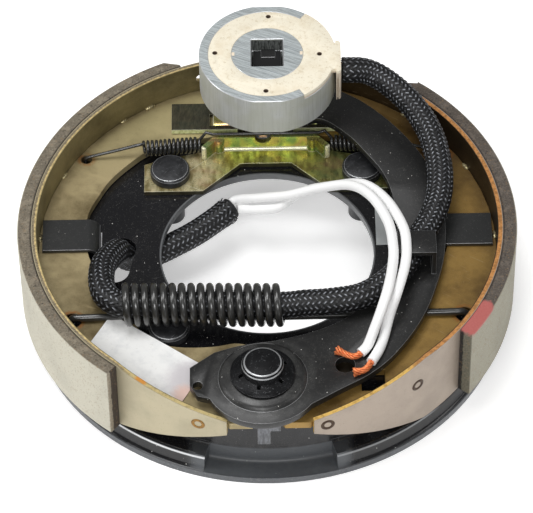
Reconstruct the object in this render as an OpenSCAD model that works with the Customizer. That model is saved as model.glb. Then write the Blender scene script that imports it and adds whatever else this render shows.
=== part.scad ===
// Electric trailer brake, 7 inch by 1-1/4 inch, left hand, as it lies on a bench.
// Frame: origin at the centre of the spindle hole, on the rear mounting face.
// +Z points out of the drum side, +Y from the arm's pivot towards the magnet.
// Every length is in millimetres.

/* [Drum and shoes] */
// Inside diameter of the drum that the brake fits
drum_d = 177.8; // [176:0.1:182]
// Radial running clearance between lining and drum
drum_gap = 0.7; // [0.4:0.1:1.2]
// Width of the lining and of the shoe table
shoe_w = 31.75; // [30:0.25:36]
// Thickness of the bonded lining
lining_t = 4.9; // [3.5:0.1:5.5]
// Thickness of the shoe table
table_t = 1.9; // [1.5:0.1:2.4]
// Thickness of the shoe web
web_t = 3; // [2.5:0.1:3.4]
// Depth of the web's upper face below the shoe's open edge
web_drop = 12.6; // [11:0.1:13.5]
// Angle where the long lining starts, next to the adjuster
long_from = 111.5; // [108:0.5:116]
// Angle where the long lining ends, next to the pivot
long_to = 231.3; // [226:0.1:233]
// Angle where the short lining starts, next to the pivot
short_from = -38; // [-42:0.5:-34]
// Angle where the short lining ends, next to the adjuster
short_to = 53; // [46:0.5:60]

/* [Backing plate] */
// Thickness of the pressed sheet
plate_t = 2.7; // [2.4:0.1:3]
// Radius of the spindle hole
hub_r = 37.9; // [36:0.1:39]
// How far inside the shoe tables the raised centre bends down
wall_gap = 6.8; // [5.9:0.1:8.4]
// How far the rim reaches past the shoe tables
rim_over = 1.9; // [1.3:0.1:3.7]
// Depth of the rim's upper face below the rear mounting face
rim_drop = 19.1; // [18:0.1:22]
// Width of the gap in the shoe ledge at either end of the shoes, in degrees
ledge_gap = 32; // [28:1:36]

/* [Mounting studs] */
// Diameter of a mounting stud
stud_d = 9.525; // [8:0.005:10]
// Spacing of the studs along X
stud_dx = 69.5; // [68:0.5:72]
// Spacing of the studs along Y
stud_dy = 73; // [72:0.5:75]
// Diameter of the stud's head
head_d = 14.3; // [13:0.1:15]
// Height of the stud's head
head_h = 3.5; // [3:0.1:3.5]
// Length of the stud below its head
stud_len = 22.2; // [20:0.1:26]

/* [Pivot and arm] */
// Distance of the arm's pivot from the spindle axis
pivot_y = 65.4; // [64:0.1:66]
// Sideways offset of the arm's pivot
pivot_x = -2.3; // [-2.6:0.1:-1.8]
// Diameter of the pivot pin
pin_d = 14.5; // [13:0.1:15]
// Height of the pin above the rear mounting face
pin_top = 20; // [19:0.1:22]
// Thickness of the arm
arm_t = 2.8; // [2.4:0.1:3]
// Rise of the arm between its pivot half and its magnet half
arm_rise = 3.4; // [3.2:0.1:4]
// Radius of the round end of the arm at the pivot
disc_r = 20.3; // [19:0.1:20.6]
// Width of the tab that stands between the shoe ends
cam_w = 7.9; // [7:0.1:8.2]
// Thickness of the tab, along the arm
cam_t = 3.4; // [2.8:0.1:3.8]

/* [Magnet] */
// Distance of the magnet's centre from the spindle axis
magnet_y = 60; // [58:0.5:61]
// Sideways offset of the magnet's centre
magnet_x = 1.1; // [0.5:0.1:1.6]
// Outer radius of the magnet
magnet_r = 24.6; // [23.8:0.1:24.9]
// Height of the magnet
magnet_h = 16; // [14:0.5:17]
// Distance of the magnet's underside above the arm
magnet_lift = 11.4; // [10:0.1:14]
// Radius of the magnet's centre pole
pole_r = 13; // [12.4:0.1:13.5]
// Wall of the magnet's pot
pot_wall = 3.4; // [2.8:0.1:3.8]
// Side of the square hole through the pole
hole_w = 11.6; // [11:0.1:12.4]
// Length of that hole, towards the drum wall
hole_l = 13.6; // [12.8:0.1:14.2]

/* [Adjuster] */
// Thickness of the yellow zinc sheet
bracket_t = 2; // [1.8:0.1:2.2]
// Height of the bracket's standing wall above its base
wall_h = 5.9; // [5:0.1:6.2]
// Distance of the adjuster's axis from the spindle axis
adj_y = 60; // [59.5:0.1:61]
// Radius of the star wheel
star_r = 5.4; // [5:0.1:5.6]
// Number of teeth on the star wheel
star_n = 16; // [12:1:20]
// Half length of the guide plates over the shoe webs
guide_x = 34.3; // [32:0.1:36]

/* [Springs and leads] */
// Outside diameter of the retractor spring
retractor_d = 15.4; // [14.8:0.1:15.8]
// Wire of the retractor spring
retractor_wire = 2.5; // [2.2:0.1:2.6]
// Turns of the retractor spring
retractor_n = 17; // [12:1:19]
// Outside diameter of the adjuster spring's coils
adj_coil_d = 6; // [5.6:0.1:6.1]
// Wire of the adjuster spring
adj_wire = 1.1; // [1:0.05:1.2]
// Turns in each coil of the adjuster spring
adj_n = 11; // [8:1:13]
// Diameter of the braided sleeve
lead_d = 9.5; // [8.5:0.1:9.6]
// Diameter of a white supply wire
wire_d = 3.6; // [3:0.1:3.9]

/* [Hidden] */

// Clearances
fit = 0.05;            // radial clearance of a round fit
seat = 0.1;            // gap between faces that rest on each other
slide = 0.2;           // gap between parts that slide
eps = 0.01;            // overshoot of a cut

// Heights
plateau_z = plate_t;                          // upper face of the raised centre
web_z = plateau_z + 0.4;                      // lower face of the webs
web_top = web_z + web_t;
shoe_top = web_top + web_drop;
shoe_bottom = shoe_top - shoe_w;
ledge_z = shoe_bottom - seat;                 // face that carries the shoe's edge
rim_z = -rim_drop;                            // upper face of the rim
base_top = plateau_z + bracket_t;             // upper face of the bracket's base
arm_z = web_top + retractor_wire + 0.3;       // lower face of the arm at the pivot
arm_top = arm_z + arm_t;
arm_far_z = arm_z + arm_rise;                 // lower face of the arm at the magnet
arm_far_top = arm_far_z + arm_t;
magnet_z = arm_far_top + magnet_lift;         // underside of the magnet
magnet_top = magnet_z + magnet_h;

// Radii
lining_r = drum_d / 2 - drum_gap;
table_r = lining_r - lining_t;                // outer face of the table
table_in = table_r - table_t;                 // inner face of the table
wall_r = table_in - wall_gap;                 // where the raised centre bends down
rim_r = table_r + rim_over;
ledge_r = table_r - 0.2;                      // outer edge of the shoe ledge
pivot = [pivot_x, -pivot_y];
magnet_at = [magnet_x, magnet_y];
pin_r = pin_d / 2;
stud_at = [stud_dx / 2, stud_dy / 2];

// Shoe ends
shoe_x = 14.5;                                // web end inside the adjuster socket
cam_x = -0.45;                                // middle of the gap between the lower ends
web_gap = 0.7;                                // gap between the tab and either web
end_y = 0.4 - table_in;                       // front edge of the lower web ends
table_from = 98.5;                            // table ends, measured from +X
table_to = 259.7;

function polar(r, a) = [r * cos(a), r * sin(a)];

// Points of a smooth curve through a list of points, m steps to each span.
function spline_at(a, b, c, d, t) =
    b + t * ((c - a) + t * ((2 * a - 5 * b + 4 * c - d) + t * (3 * (b - c) + d - a))) / 2;
function smooth(p, m) = concat(
    [for (i = [0:len(p) - 2], k = [0:m - 1])
        spline_at(p[max(i - 1, 0)], p[i], p[i + 1], p[min(i + 2, len(p) - 1)], k / m)],
    [p[len(p) - 1]]);

// Frames carried along a path, so that a tube doesn't twist.
function unit(v) = v / norm(v);
function carried(n, t) = unit(n - (n * t) * t);
function tangents(p) = [for (i = [0:len(p) - 1])
    unit(p[min(i + 1, len(p) - 1)] - p[max(i - 1, 0)])];
function normals(t, n0) = [for (i = 0, n = carried(n0, t[0]); i < len(t);
    i = i + 1, n = i < len(t) ? carried(n, t[i]) : n) n];

// A round tube along a path: one closed polyhedron.
module tube(path, d, sides = 8, n0 = [0, 0, 1]) {
    t = tangents(path);
    n = normals(t, n0);
    last = len(path) - 1;
    points = [for (i = [0:last], k = [0:sides - 1])
        path[i] + d / 2 * (cos(360 * k / sides) * n[i] + sin(360 * k / sides) * cross(t[i], n[i]))];
    walls = [for (i = [0:last - 1], k = [0:sides - 1]) let (j = (k + 1) % sides)
        [i * sides + k, (i + 1) * sides + k, (i + 1) * sides + j, i * sides + j]];
    start = [for (k = [0:sides - 1]) k];
    finish = [for (k = [0:sides - 1]) last * sides + sides - 1 - k];
    polyhedron(points, concat([start], walls, [finish]), convexity = 10);
}

// Points of a coil about an axis from a towards b, leaving radius r at angle a0.
function coil(a, b, r, turns, steps, a0) =
    let (t = unit(b - a), u = carried([0, 0, 1], t), v = cross(t, u), n = turns * steps)
    [for (i = [0:n]) let (w = a0 + 360 * i / steps)
        a + (b - a) * i / n + r * (cos(w) * u + sin(w) * v)];

// Backing plate

bend_r = 1.6;                                 // outside radius of the pressing's bends
foot_r = wall_r + 3;                          // foot of the wall where there is no ledge
gap_line = [[hub_r - 1, plateau_z], [wall_r, plateau_z], [foot_r, rim_z], [rim_r, rim_z]];
ledge_line = [[hub_r - 1, plateau_z], [wall_r, plateau_z], [wall_r + 2.4, ledge_z], [ledge_r, ledge_z],
    [ledge_r + 0.6, rim_z], [rim_r, rim_z]];

// Points of a polyline with each inner corner rounded to radius r in three steps.
function round_corner(a, b, c, r) =
    let (u = unit(a - b), v = unit(c - b), half = acos(u * v) / 2, cut = r / tan(half),
        centre = b + unit(u + v) * r / sin(half), from = b + cut * u - centre, to = b + cut * v - centre)
    [for (k = [0:3]) centre + r * unit(from * (3 - k) + to * k)];
function rounded(p, r) = concat([p[0]],
    [for (i = [1:len(p) - 2]) each round_corner(p[i - 1], p[i], p[i + 1], r)], [p[len(p) - 1]]);
// The same polyline moved down by t, square to each stretch.
function lowered(p, t) = let (n = [for (i = [0:len(p) - 2]) let (d = unit(p[i + 1] - p[i])) [d[1], -d[0]]])
    [for (i = [0:len(p) - 1])
        let (m = n[max(i - 1, 0)], q = n[min(i, len(p) - 2)]) p[i] + t * (m + q) / (1 + m * q)];
function reversed(p) = [for (i = [len(p) - 1:-1:0]) p[i]];

module pressing(line) {
    polygon(concat(rounded(line, bend_r), reversed(rounded(lowered(line, plate_t), bend_r))));
}
// End of a ledge: the web of metal between the ledge and the floor of the gap.
module ledge_end() {
    under = lowered(gap_line, plate_t / 2);
    polygon([[ledge_line[2][0] - 1, ledge_z], ledge_line[3] + [-0.4, 0], ledge_line[4] + [-0.4, -eps],
        [under[2][0], under[2][1]], [under[2][0] - 1.2, ledge_z - 2]]);
}
lead_hole = [-52, 2.5];                       // round end of the slot for the lead
lead_slot = [-54.4, -8];                       // other end of that slot
slot_r = lead_d / 2 + 0.5;
hold_y = 5.3;                                 // middle of the hold-down strips
hold_w = 14.6;
rivet_shank = 4.5;                            // radius of the pivot pin inside the plate
hold_t = 1.4;
hold_leg = 61;                                // outer face of the strip's leg
hold_slot = 2.4;                              // width of its slot in the plate

// Outline of a long hole with round ends.
module slot2d(a, b, r) {
    turn = atan2(b[1] - a[1], b[0] - a[0]);
    polygon(concat([for (k = [0:16]) a + polar(r, turn + 90 + 180 * k / 16)],
        [for (k = [0:16]) b + polar(r, turn - 90 + 180 * k / 16)]));
}

// A wedge of space about the axis, from one angle to another.
module wedge(from, to) {
    reach = 2 * rim_r;
    translate([0, 0, -reach / 2]) linear_extrude(reach)
        polygon(concat([[0, 0]], [for (k = [0:4]) polar(reach, from + (to - from) * k / 4)]));
}
module full_turn(line) { rotate_extrude($fn = 180) pressing(line); }

module backing_plate() {
    half = ledge_gap / 2;
    end_wall = 2.4;                           // width of a ledge's end wall, in degrees
    color([0.03, 0.03, 0.035]) difference() {
        union() {
            difference() {
                full_turn(gap_line);
                for (side = [-90, 90]) wedge(side + half, side + 180 - half);
            }
            intersection() {
                full_turn(ledge_line);
                for (side = [-90, 90]) wedge(side + half, side + 180 - half);
            }
            intersection() {
                rotate_extrude($fn = 180) ledge_end();
                for (side = [-90, 90]) {
                    wedge(side + half, side + half + end_wall);
                    wedge(side - half - end_wall, side - half);
                }
            }
        }
        translate([0, 0, -plate_t]) cylinder(h = 4 * plate_t, r = hub_r, $fn = 96);
        for (x = [-1, 1], y = [-1, 1])
            translate([x * stud_at[0], y * stud_at[1], -plate_t])
                cylinder(h = 4 * plate_t, r = knurl_r + fit, $fn = 48);
        translate([pivot[0], pivot[1], -plate_t]) cylinder(h = 4 * plate_t, r = rivet_shank + fit, $fn = 64);
        translate([0, 0, -plate_t]) linear_extrude(4 * plate_t) {
            slot2d(lead_hole, lead_slot, slot_r);
            for (side = [-1, 1])
                translate([side * (hold_leg - hold_t / 2) - hold_slot / 2, hold_y - hold_w / 2 - 0.4])
                    square([hold_slot, hold_w + 0.8]);
            translate([magnet_x - 4.5, adj_y - star_r - 1]) square([7, 2 * star_r + 2]);
        }
    }
}

// Pivot

collar_h = 1.7;                               // height of the pressed ring round the pin
collar_r = 15.3;
nut_r = 11.2;
nut_h = 1.6;

// A shouldered pin, riveted over under the plate.
module pivot_pin() {
    rivet_h = 1.4;
    rivet_r = rivet_shank + 1.6;
    bevel = 0.9;
    color([0.05, 0.05, 0.05]) translate([pivot[0], pivot[1], 0])
        rotate_extrude($fn = 64) polygon([
            [0, -rivet_h], [rivet_r - bevel, -rivet_h], [rivet_r, 0], [rivet_shank, 0],
            [rivet_shank, plateau_z], [pin_r, plateau_z], [pin_r, pin_top - bevel],
            [pin_r - bevel, pin_top], [0, pin_top]]);
}

module push_nut() {
    slots = 6;
    slot_w = 1.3;
    z = arm_top + collar_h + seat;
    dish = 1.2;                               // rise of the fingers towards the pin
    color([0.12, 0.12, 0.12]) translate([pivot[0], pivot[1], z]) difference() {
        rotate_extrude($fn = 64) polygon([
            [pin_r + fit, dish], [nut_r - 1.2, 0], [nut_r, 0], [nut_r, 0.9], [nut_r - 0.9, nut_h],
            [pin_r + fit, dish + nut_h]]);
        for (k = [0:slots - 1]) rotate(360 * k / slots + 20)
            translate([pin_r - 1, -slot_w / 2, -1]) cube([2.6, slot_w, 2 * nut_h + dish + 1]);
    }
}

// Studs

knurl_r = stud_d / 2 + 0.2;                   // shoulder pressed into the plate

module mounting_studs() {
    bevel = 0.7;
    shank_r = stud_d / 2;
    for (x = [-1, 1], y = [-1, 1]) {
        under = y > 0 ? base_top : plateau_z; // upper pair clamps the bracket
        color([0.07, 0.07, 0.075]) translate([x * stud_at[0], y * stud_at[1], under])
            rotate_extrude($fn = 48) polygon([
                [0, -stud_len], [shank_r - bevel, -stud_len], [shank_r, -stud_len + bevel],
                [shank_r, -under], [knurl_r, -under], [knurl_r, 0], [head_d / 2, 0],
                [head_d / 2, head_h - bevel], [head_d / 2 - bevel, head_h], [0, head_h]]);
    }
}

// Adjuster

wall_y = 48.7;                                // front face of the bracket's wall
wall_x = 17;                                  // straight half length of that wall
wing = [21.6, 43.7];                          // front edge of the bent ends
notch_r = 3;

module adjuster_bracket() {
    foot_x = stud_at[0] + 9.4;                // ends of the base
    front_y = stud_at[1] - 8.2;
    waist_y = hub_r + 3.6;
    turn = atan2(wall_y - wing[1], wing[0] - wall_x);
    wing_l = norm([wing[0] - wall_x, wall_y - wing[1]]);
    color([0.66, 0.64, 0.25]) difference() {
        union() {
            translate([0, 0, plateau_z]) linear_extrude(bracket_t) polygon([
                [-foot_x, front_y], [-22.9, front_y], [-9.2, waist_y], [9.2, waist_y],
                [22.9, front_y], [foot_x, front_y], [foot_x, stud_at[1] + 5], [38, stud_at[1] + 7.6],
                [wing[0], wall_y - 1], [wall_x, wall_y + bracket_t], [-wall_x, wall_y + bracket_t],
                [-wing[0], wall_y - 1], [-38, stud_at[1] + 7.6], [-foot_x, stud_at[1] + 5]]);
            translate([-wall_x, wall_y, plateau_z]) cube([2 * wall_x, bracket_t, bracket_t + wall_h]);
            for (side = [0, 1]) mirror([side, 0, 0])
                translate([wall_x, wall_y, plateau_z]) rotate(-turn) {
                    cube([wing_l, bracket_t, bracket_t + wall_h]);
                    cylinder(h = bracket_t + wall_h, r = bracket_t, $fn = 32);
                }
        }
        for (x = [-1, 1]) translate([x * stud_at[0], stud_at[1], 0])
            cylinder(h = 3 * plate_t, r = knurl_r + fit, $fn = 48);
        translate([magnet_x - 2, wall_y - 3 * bracket_t, base_top + wall_h]) rotate([-90, 0, 0])
            cylinder(h = 6 * bracket_t, r = notch_r, $fn = 40);
    }
}

socket_r = 3.4;
socket_in = 4.6;                              // inner end of a socket
socket_out = shoe_x + 4.6;                    // tip of the tongue over the web
adj_z = plateau_z + slide + socket_r;         // height of the adjuster's axis
screw_r = 2.2;
screw_half = 12.4;                            // half length of the screw
cheek_x = 9.2;                                // middle of a housing cheek
guide_y = adj_y - 4.7;                        // front edge of the guide plates
guide_l = 13.2;

module adjuster_housing() {
    guide_z = web_top + 0.3;
    cheek_y = adj_y - socket_r - 3.6;         // the cheeks reach in front of the sockets
    guide_back = guide_y + guide_l;
    cheek_h = adj_z + socket_r + slide + 1.3 - plateau_z;
    bore_x = socket_out + 1.2;
    color([0.7, 0.68, 0.3]) difference() {
        union() {
            for (side = [-1, 1]) {
                translate([side * (cheek_x + guide_x) / 2, guide_y + guide_l / 2, guide_z + bracket_t / 2])
                    cube([guide_x - cheek_x, guide_l, bracket_t], center = true);
                translate([side * cheek_x - bracket_t / 2, cheek_y, plateau_z])
                    cube([bracket_t, guide_back - cheek_y, cheek_h]);
            }
            // back wall that joins the cheeks
            translate([-cheek_x, guide_back - bracket_t, plateau_z]) cube([2 * cheek_x, bracket_t, cheek_h]);
        }
        translate([-bore_x, adj_y, adj_z]) rotate([0, 90, 0])
            cylinder(h = 2 * bore_x, r = socket_r + slide, $fn = 48);
        translate([-bore_x, adj_y - socket_r - slide, 0]) cube([2 * bore_x, 2 * (socket_r + slide), adj_z]);
    }
}

module adjuster_screw() {
    half = screw_half;
    bevel = 0.6;
    color([0.62, 0.6, 0.4]) translate([0, adj_y, adj_z]) rotate([0, 90, 0])
        rotate_extrude($fn = 40) polygon([
            [0, -half], [screw_r - bevel, -half], [screw_r, bevel - half], [screw_r, half - bevel],
            [screw_r - bevel, half], [0, half]]);
}

module star_wheel() {
    width = 3.2;
    root_r = star_r - 1.5;
    tooth = 360 / star_n;
    color([0.6, 0.58, 0.38]) translate([magnet_x - 2 - width / 2, adj_y, adj_z]) rotate([0, 90, 0])
        difference() {
            linear_extrude(width) polygon([for (k = [0:star_n - 1], s = [0:3])
                polar(s == 0 || s == 3 ? root_r : star_r, (k + [0, 0.22, 0.5, 0.72][s]) * tooth)]);
            translate([0, 0, -eps]) cylinder(h = width + 2 * eps, r = screw_r + fit, $fn = 40);
        }
}

// A socket: bored for the screw at one end, cut away under a tongue for the web at the other.
module adjuster_socket() {
    web_side = web_top + 0.15 - adj_z;
    color([0.6, 0.58, 0.42]) translate([0, adj_y, adj_z]) difference() {
        translate([socket_in, 0, 0]) rotate([0, 90, 0])
            cylinder(h = socket_out - socket_in, r = socket_r, $fn = 48);
        translate([socket_in - eps, 0, 0]) rotate([0, 90, 0])
            cylinder(h = screw_half + 0.4 - socket_in, r = screw_r + fit, $fn = 40);
        translate([shoe_x - 0.3, -2 * socket_r, web_side - 2 * socket_r])
            cube([socket_out, 4 * socket_r, 2 * socket_r]);
    }
}
module adjuster_socket_right() { adjuster_socket(); }
module adjuster_socket_left() { mirror([1, 0, 0]) adjuster_socket(); }

// Shoes

// Part of a ring between two angles.
module ring(r_in, r_out, z, h, from, to) {
    translate([0, 0, z]) rotate(from) rotate_extrude(angle = to - from, $fn = 180)
        translate([r_in, 0]) square([r_out - r_in, h]);
}
tip_h = 6.2;                                  // height of the table's narrow ends
tip_z = web_z + web_t / 2 - tip_h / 2;
shoe_k = table_in / 81.4;                     // the web's form grows with the shoe
spring_hole = shoe_k * [68.6, -33.7];         // holes for the retractor spring's hooks
small_hole = shoe_k * [65.2, 43.3];           // holes for the adjuster spring's hooks
spring_hole_r = 3.2;
small_hole_r = 1.9;
table_hole = [106.8, 12.2, 1.8];              // angle, height and radius of the hole in a table

// What is cut off the table's ends, seen along Y. Each cut starts a little outside the table's edge.
function beyond(from, to) = from + (from - to) * 0.1;
module slope_cut(from, to, out) {
    start = beyond(from, to);
    polygon([start, to, [to[0] + 20, to[1]], [to[0] + 20, start[1] + out], [start[0], start[1] + out]]);
}
module taper_cut() {
    reach = 2 * drum_d;
    tip_x = table_r * cos(table_to) + 1.2;
    full_x = table_r * cos(long_to - 1);
    upper_x = table_r * cos(table_from + 5);
    upper_drop = -upper_x * 0.64;
    module low() {
        slope_cut([full_x, shoe_top], [tip_x, tip_z + tip_h], 1);
        slope_cut([full_x, shoe_bottom], [tip_x, tip_z], -1);
    }
    module high() {
        slope_cut([upper_x, shoe_top], [0, shoe_top - upper_drop], 1);
        slope_cut([upper_x, shoe_bottom], [0, shoe_bottom + upper_drop], -1);
    }
    rotate([90, 0, 0]) linear_extrude(reach) low();
    translate([0, reach, 0]) rotate([90, 0, 0]) linear_extrude(reach) high();
}

module shoe_table() {
    difference() {
        ring(table_in, table_r, shoe_bottom, shoe_w, table_from, table_to);
        taper_cut();
        translate([0, 0, table_hole[1]]) rotate(table_hole[0]) rotate([0, 90, 0])
            cylinder(h = drum_d, r = table_hole[2], $fn = 32);
    }
}

web_inner = shoe_k * [[-7.5, -46], [-12, -45.2], [-20, -46.6], [-32, -46.4], [-41, -43],
    [-46.5, -36], [-52, -27], [-58.6, -15.5], [-63.3, -4], [-64.6, 6], [-64, 16.4],
    [-60.7, 24.7], [-56.3, 33.1], [-49.4, 41.3], [-42.2, 47.6], [-32, 51.6], [-22, 53.4]];

// Outline of the left web. The lower end stands off the middle of the gap by end_x.
module web_outline(end_x) {
    rim = [for (k = [0:24]) polar(table_in - 0.02, 103 + (table_to - 103) * k / 24)];
    polygon(concat(rim,
        [[-13.9, end_y], [-end_x - 1, end_y], [-end_x, end_y + 1], [-end_x, -60], [-7.5, -57]],
        smooth(web_inner, 4), [[-shoe_x, adj_y - 5.6], [-shoe_x, adj_y + 5.4], [-shoe_x - 3, adj_y + 10]]));
}

module secondary_web() {
    end_x = cam_w / 2 + web_gap - cam_x;
    color([0.42, 0.36, 0.2]) translate([0, 0, web_z]) linear_extrude(web_t) difference() {
        web_outline(end_x);
        translate(pivot) circle(pin_r + slide, $fn = 64);
        translate([-spring_hole[0], spring_hole[1]]) circle(spring_hole_r, $fn = 32);
        translate([-small_hole[0], small_hole[1]]) circle(small_hole_r, $fn = 32);
    }
}
module primary_web() {
    end_x = cam_w / 2 + web_gap + cam_x;
    slot = [31.5, -pivot_y - 2, 8.2, 9.2];    // oblong hole near the lower end
    color([0.47, 0.36, 0.15]) translate([0, 0, web_z]) linear_extrude(web_t) difference() {
        mirror([1, 0]) web_outline(end_x);
        translate(pivot) circle(pin_r + slide, $fn = 64);
        translate(spring_hole) circle(spring_hole_r, $fn = 32);
        translate(small_hole) circle(small_hole_r, $fn = 32);
        translate([slot[0], slot[1]]) square([slot[2], slot[3]]);
    }
}
module secondary_table() { color([0.62, 0.56, 0.38]) shoe_table(); }
module primary_table() { color([0.66, 0.55, 0.3]) mirror([1, 0, 0]) shoe_table(); }

// A bonded lining; its upper end is bevelled.
module lining(from, to, bevelled_high) {
    bevel = 3.2;
    at = bevelled_high ? to : from;
    turn = bevelled_high ? 1 : -1;
    difference() {
        ring(table_r + 0.02, lining_r, shoe_bottom, shoe_w, from, to);
        rotate(at) translate([lining_r, 0, shoe_bottom - 1]) rotate(turn * 32)
            translate([-bevel * 0.9, -bevel, 0]) cube([4 * bevel, 8 * bevel, shoe_w + 2]);
    }
}
module secondary_lining() { color([0.5, 0.47, 0.42]) lining(long_from, long_to, false); }
module primary_lining() { color([0.44, 0.42, 0.38]) lining(short_from, short_to, true); }

// Springs

retractor_r = (retractor_d - retractor_wire) / 2;
retractor_z = web_top + slide + retractor_d / 2;
hook_z = retractor_z - retractor_r;           // the straight ends run along the coil's underside
retractor_a = [-51, -33.4, retractor_z];      // ends of the coil's axis
retractor_b = [4.6, -34.8, retractor_z];

module retractor_spring() {
    under = web_z - retractor_wire / 2 - 0.4; // the hooks turn under the webs
    bend = retractor_wire;
    right = [spring_hole[0] + 0.5, spring_hole[1], 0];
    left = [-right[0], right[1], 0];
    body = coil(retractor_a, retractor_b, retractor_r, retractor_n, 14, 180);
    color([0.04, 0.04, 0.045]) tube(concat(
        [left + [-bend, 0, under], left + [0, 0, under + 0.4 * bend], left + [0, 0, web_top - 0.2],
            left + [0.5 * bend, 0, hook_z - 0.15], left + [1.6 * bend, 0, hook_z]],
        body,
        [right + [-1.6 * bend, 0, hook_z], right + [-0.5 * bend, 0, hook_z - 0.15],
            right + [0, 0, web_top - 0.2], right + [0, 0, under + 0.4 * bend], right + [bend, 0, under]]),
        retractor_wire, 8, [0, 1, 0.02]);
}

adj_coil_r = (adj_coil_d - adj_wire) / 2;
coil_out = [44.4, 45.4, 9.2];                 // outer end of a small coil's axis
coil_in = [24.2, 48.2, 7.9];                  // inner end

module adjuster_spring() {
    under = web_z - adj_wire;
    bridge = base_top + wall_h + 0.6;         // the straight middle lies over the bracket's wall
    hook = [small_hole[0] + 0.3, small_hole[1], 0];
    half = concat(
        [hook + [2, 0, under - 0.2], hook + [0.2, 0, under], hook + [0, 0, web_top - 0.2],
            hook + [-1, 0, web_top + 1.1], [58, 44, web_top + 2.2]],
        coil(coil_out, coil_in, adj_coil_r, adj_n, 10, 180),
        [[21.6, wall_y + 2.6, bridge - 0.2], [19.2, wall_y + 1.4, bridge]]);
    middle = len(half);
    turned = [for (k = [1:middle]) [-half[middle - k][0], half[middle - k][1], half[middle - k][2]]];
    color([0.05, 0.05, 0.055]) tube(concat(half, turned), adj_wire, 6, [0, 1, 0.03]);
}

// Hold-downs: a strip over the web whose leg passes through the plate.

module hold_down() {
    z = web_top + slide;
    outer = table_in - 1.4;
    bend = 3;
    leg = hold_leg;
    color([0.09, 0.09, 0.09]) translate([0, hold_y + hold_w / 2, 0]) rotate([90, 0, 0])
        linear_extrude(hold_w) {
            translate([leg + bend, z]) square([outer - leg - bend, hold_t]);
            translate([leg - hold_t, -plate_t]) square([hold_t, z + hold_t - bend + plate_t]);
            translate([leg + bend, z + hold_t - bend - hold_t]) intersection() {
                difference() {
                    circle(bend + hold_t, $fn = 48);
                    circle(bend, $fn = 48);
                }
                translate([-bend - hold_t, 0]) square([bend + hold_t, bend + hold_t]);
            }
        }
}
module hold_down_right() { hold_down(); }
module hold_down_left() { mirror([1, 0, 0]) hold_down(); }

// Arm

arm_outer = [[18, -74.9], [25.2, -70.4], [33.7, -65.1], [41.7, -57.7], [49.3, -47], [55.1, -35.8],
    [59.4, -22.9], [62.2, -11], [63.3, 3], [61.8, 17], [58.6, 28.6], [52.8, 40.5], [44.6, 52.2],
    [34.5, 62.6], [24, 69.4]];
arm_inner = [[13, 51.6], [20.4, 53.4], [29.6, 45.5], [36.4, 35.8], [42, 26.2], [45.2, 14.8], [46.2, 4],
    [44.6, -8.7], [40.6, -20.4], [34.4, -31.4], [26.4, -39.6], [16, -45], [4, -48.6], [-10, -51],
    [-19, -54]];
post = [5.2, 4.2];                            // section of the magnet's post
post_at = magnet_at + [0.3, 5];               // it stands at the back of the magnet's hole
strap_y = [-19.6, -9.2];                      // ends of the strap over the lead
strap_t = 1.6;
strap_x = [45.6, 59];

module arm_outline() {
    polygon(concat(smooth(arm_outer, 4), [[14, 70.4]],
        [for (k = [0:8]) magnet_at + polar(9, 80 + 200 * k / 8)],
        smooth(arm_inner, 4), [[-27.3, -60.6], [-27.3, -68.4], [-24.6, -73.2]],
        [for (k = [0:20]) pivot + polar(disc_r, 206 + 118 * k / 20)]));
}
// Section of the arm along Y: low at the pivot, high at the magnet.
module arm_section() {
    low_y = -6;
    high_y = 20;
    polygon([[-100, arm_z], [low_y, arm_z], [high_y, arm_far_z], [100, arm_far_z],
        [100, arm_far_top], [high_y, arm_far_top], [low_y, arm_top], [-100, arm_top]]);
}

module actuating_arm() {
    cam_y = end_y - 0.4;                      // front face of the tab
    strap_z = arm_top + lead_d + 0.2;
    color([0.06, 0.06, 0.065]) difference() {
        union() {
            intersection() {
                linear_extrude(drum_d) arm_outline();
                rotate([90, 0, 90]) translate([0, 0, -drum_d / 2]) linear_extrude(drum_d) arm_section();
            }
            // pressed ring round the pin
            translate([pivot[0], pivot[1], arm_top - eps]) rotate_extrude($fn = 64) polygon([
                [pin_r, 0], [collar_r, 0], [collar_r - 0.5, 0.9], [collar_r - 1.8, collar_h + eps],
                [pin_r, collar_h + eps]]);
            // tab between the shoe ends: its left half reaches lower
            translate([cam_x - cam_w / 2, cam_y, web_z - 1]) cube([cam_w, cam_t, arm_z - web_z + 1 + eps]);
            translate([cam_x - cam_w / 2, cam_y, web_z - 8]) cube([0.55 * cam_w, cam_t, 9]);
            translate([cam_x - cam_w / 2, cam_y, arm_z]) cube([cam_w, pivot[1] - disc_r / 2 - cam_y, arm_t]);
            // strap over the lead
            translate([strap_x[0], strap_y[0], strap_z]) cube([strap_x[1] - strap_x[0],
                strap_y[1] - strap_y[0], strap_t]);
            translate([strap_x[1] - strap_t, strap_y[0], arm_top - 1])
                cube([strap_t, strap_y[1] - strap_y[0], strap_z - arm_top + 1 + strap_t]);
        }
        translate([pivot[0], pivot[1], arm_z - eps]) cylinder(h = 4 * arm_t, r = pin_r + fit, $fn = 64);
        translate([26, -60.4, arm_z - eps]) cylinder(h = 2 * arm_t, r = 3.5, $fn = 40);
        translate([-24.6, -68.6, arm_z - eps]) cylinder(h = 2 * arm_t, r = 1.8, $fn = 32);
        translate([post_at[0], post_at[1], arm_far_z]) post_bar(2 * arm_t, fit, -1);
    }
}

// Magnet

clip_t = 0.8;
post_top = magnet_top - 4.9;
clip_z = post_top - 0.3 - clip_t;             // underside of the clip
ledge_h = clip_z - seat - magnet_z;           // shoulder in the magnet's hole that the clip holds

// A bar of the post's section, grown by a clearance.
module post_bar(h, gap = 0, z = 0) {
    translate([-post[0] / 2 - gap, -post[1] / 2 - gap, z]) cube([post[0] + 2 * gap, post[1] + 2 * gap, h]);
}

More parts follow.
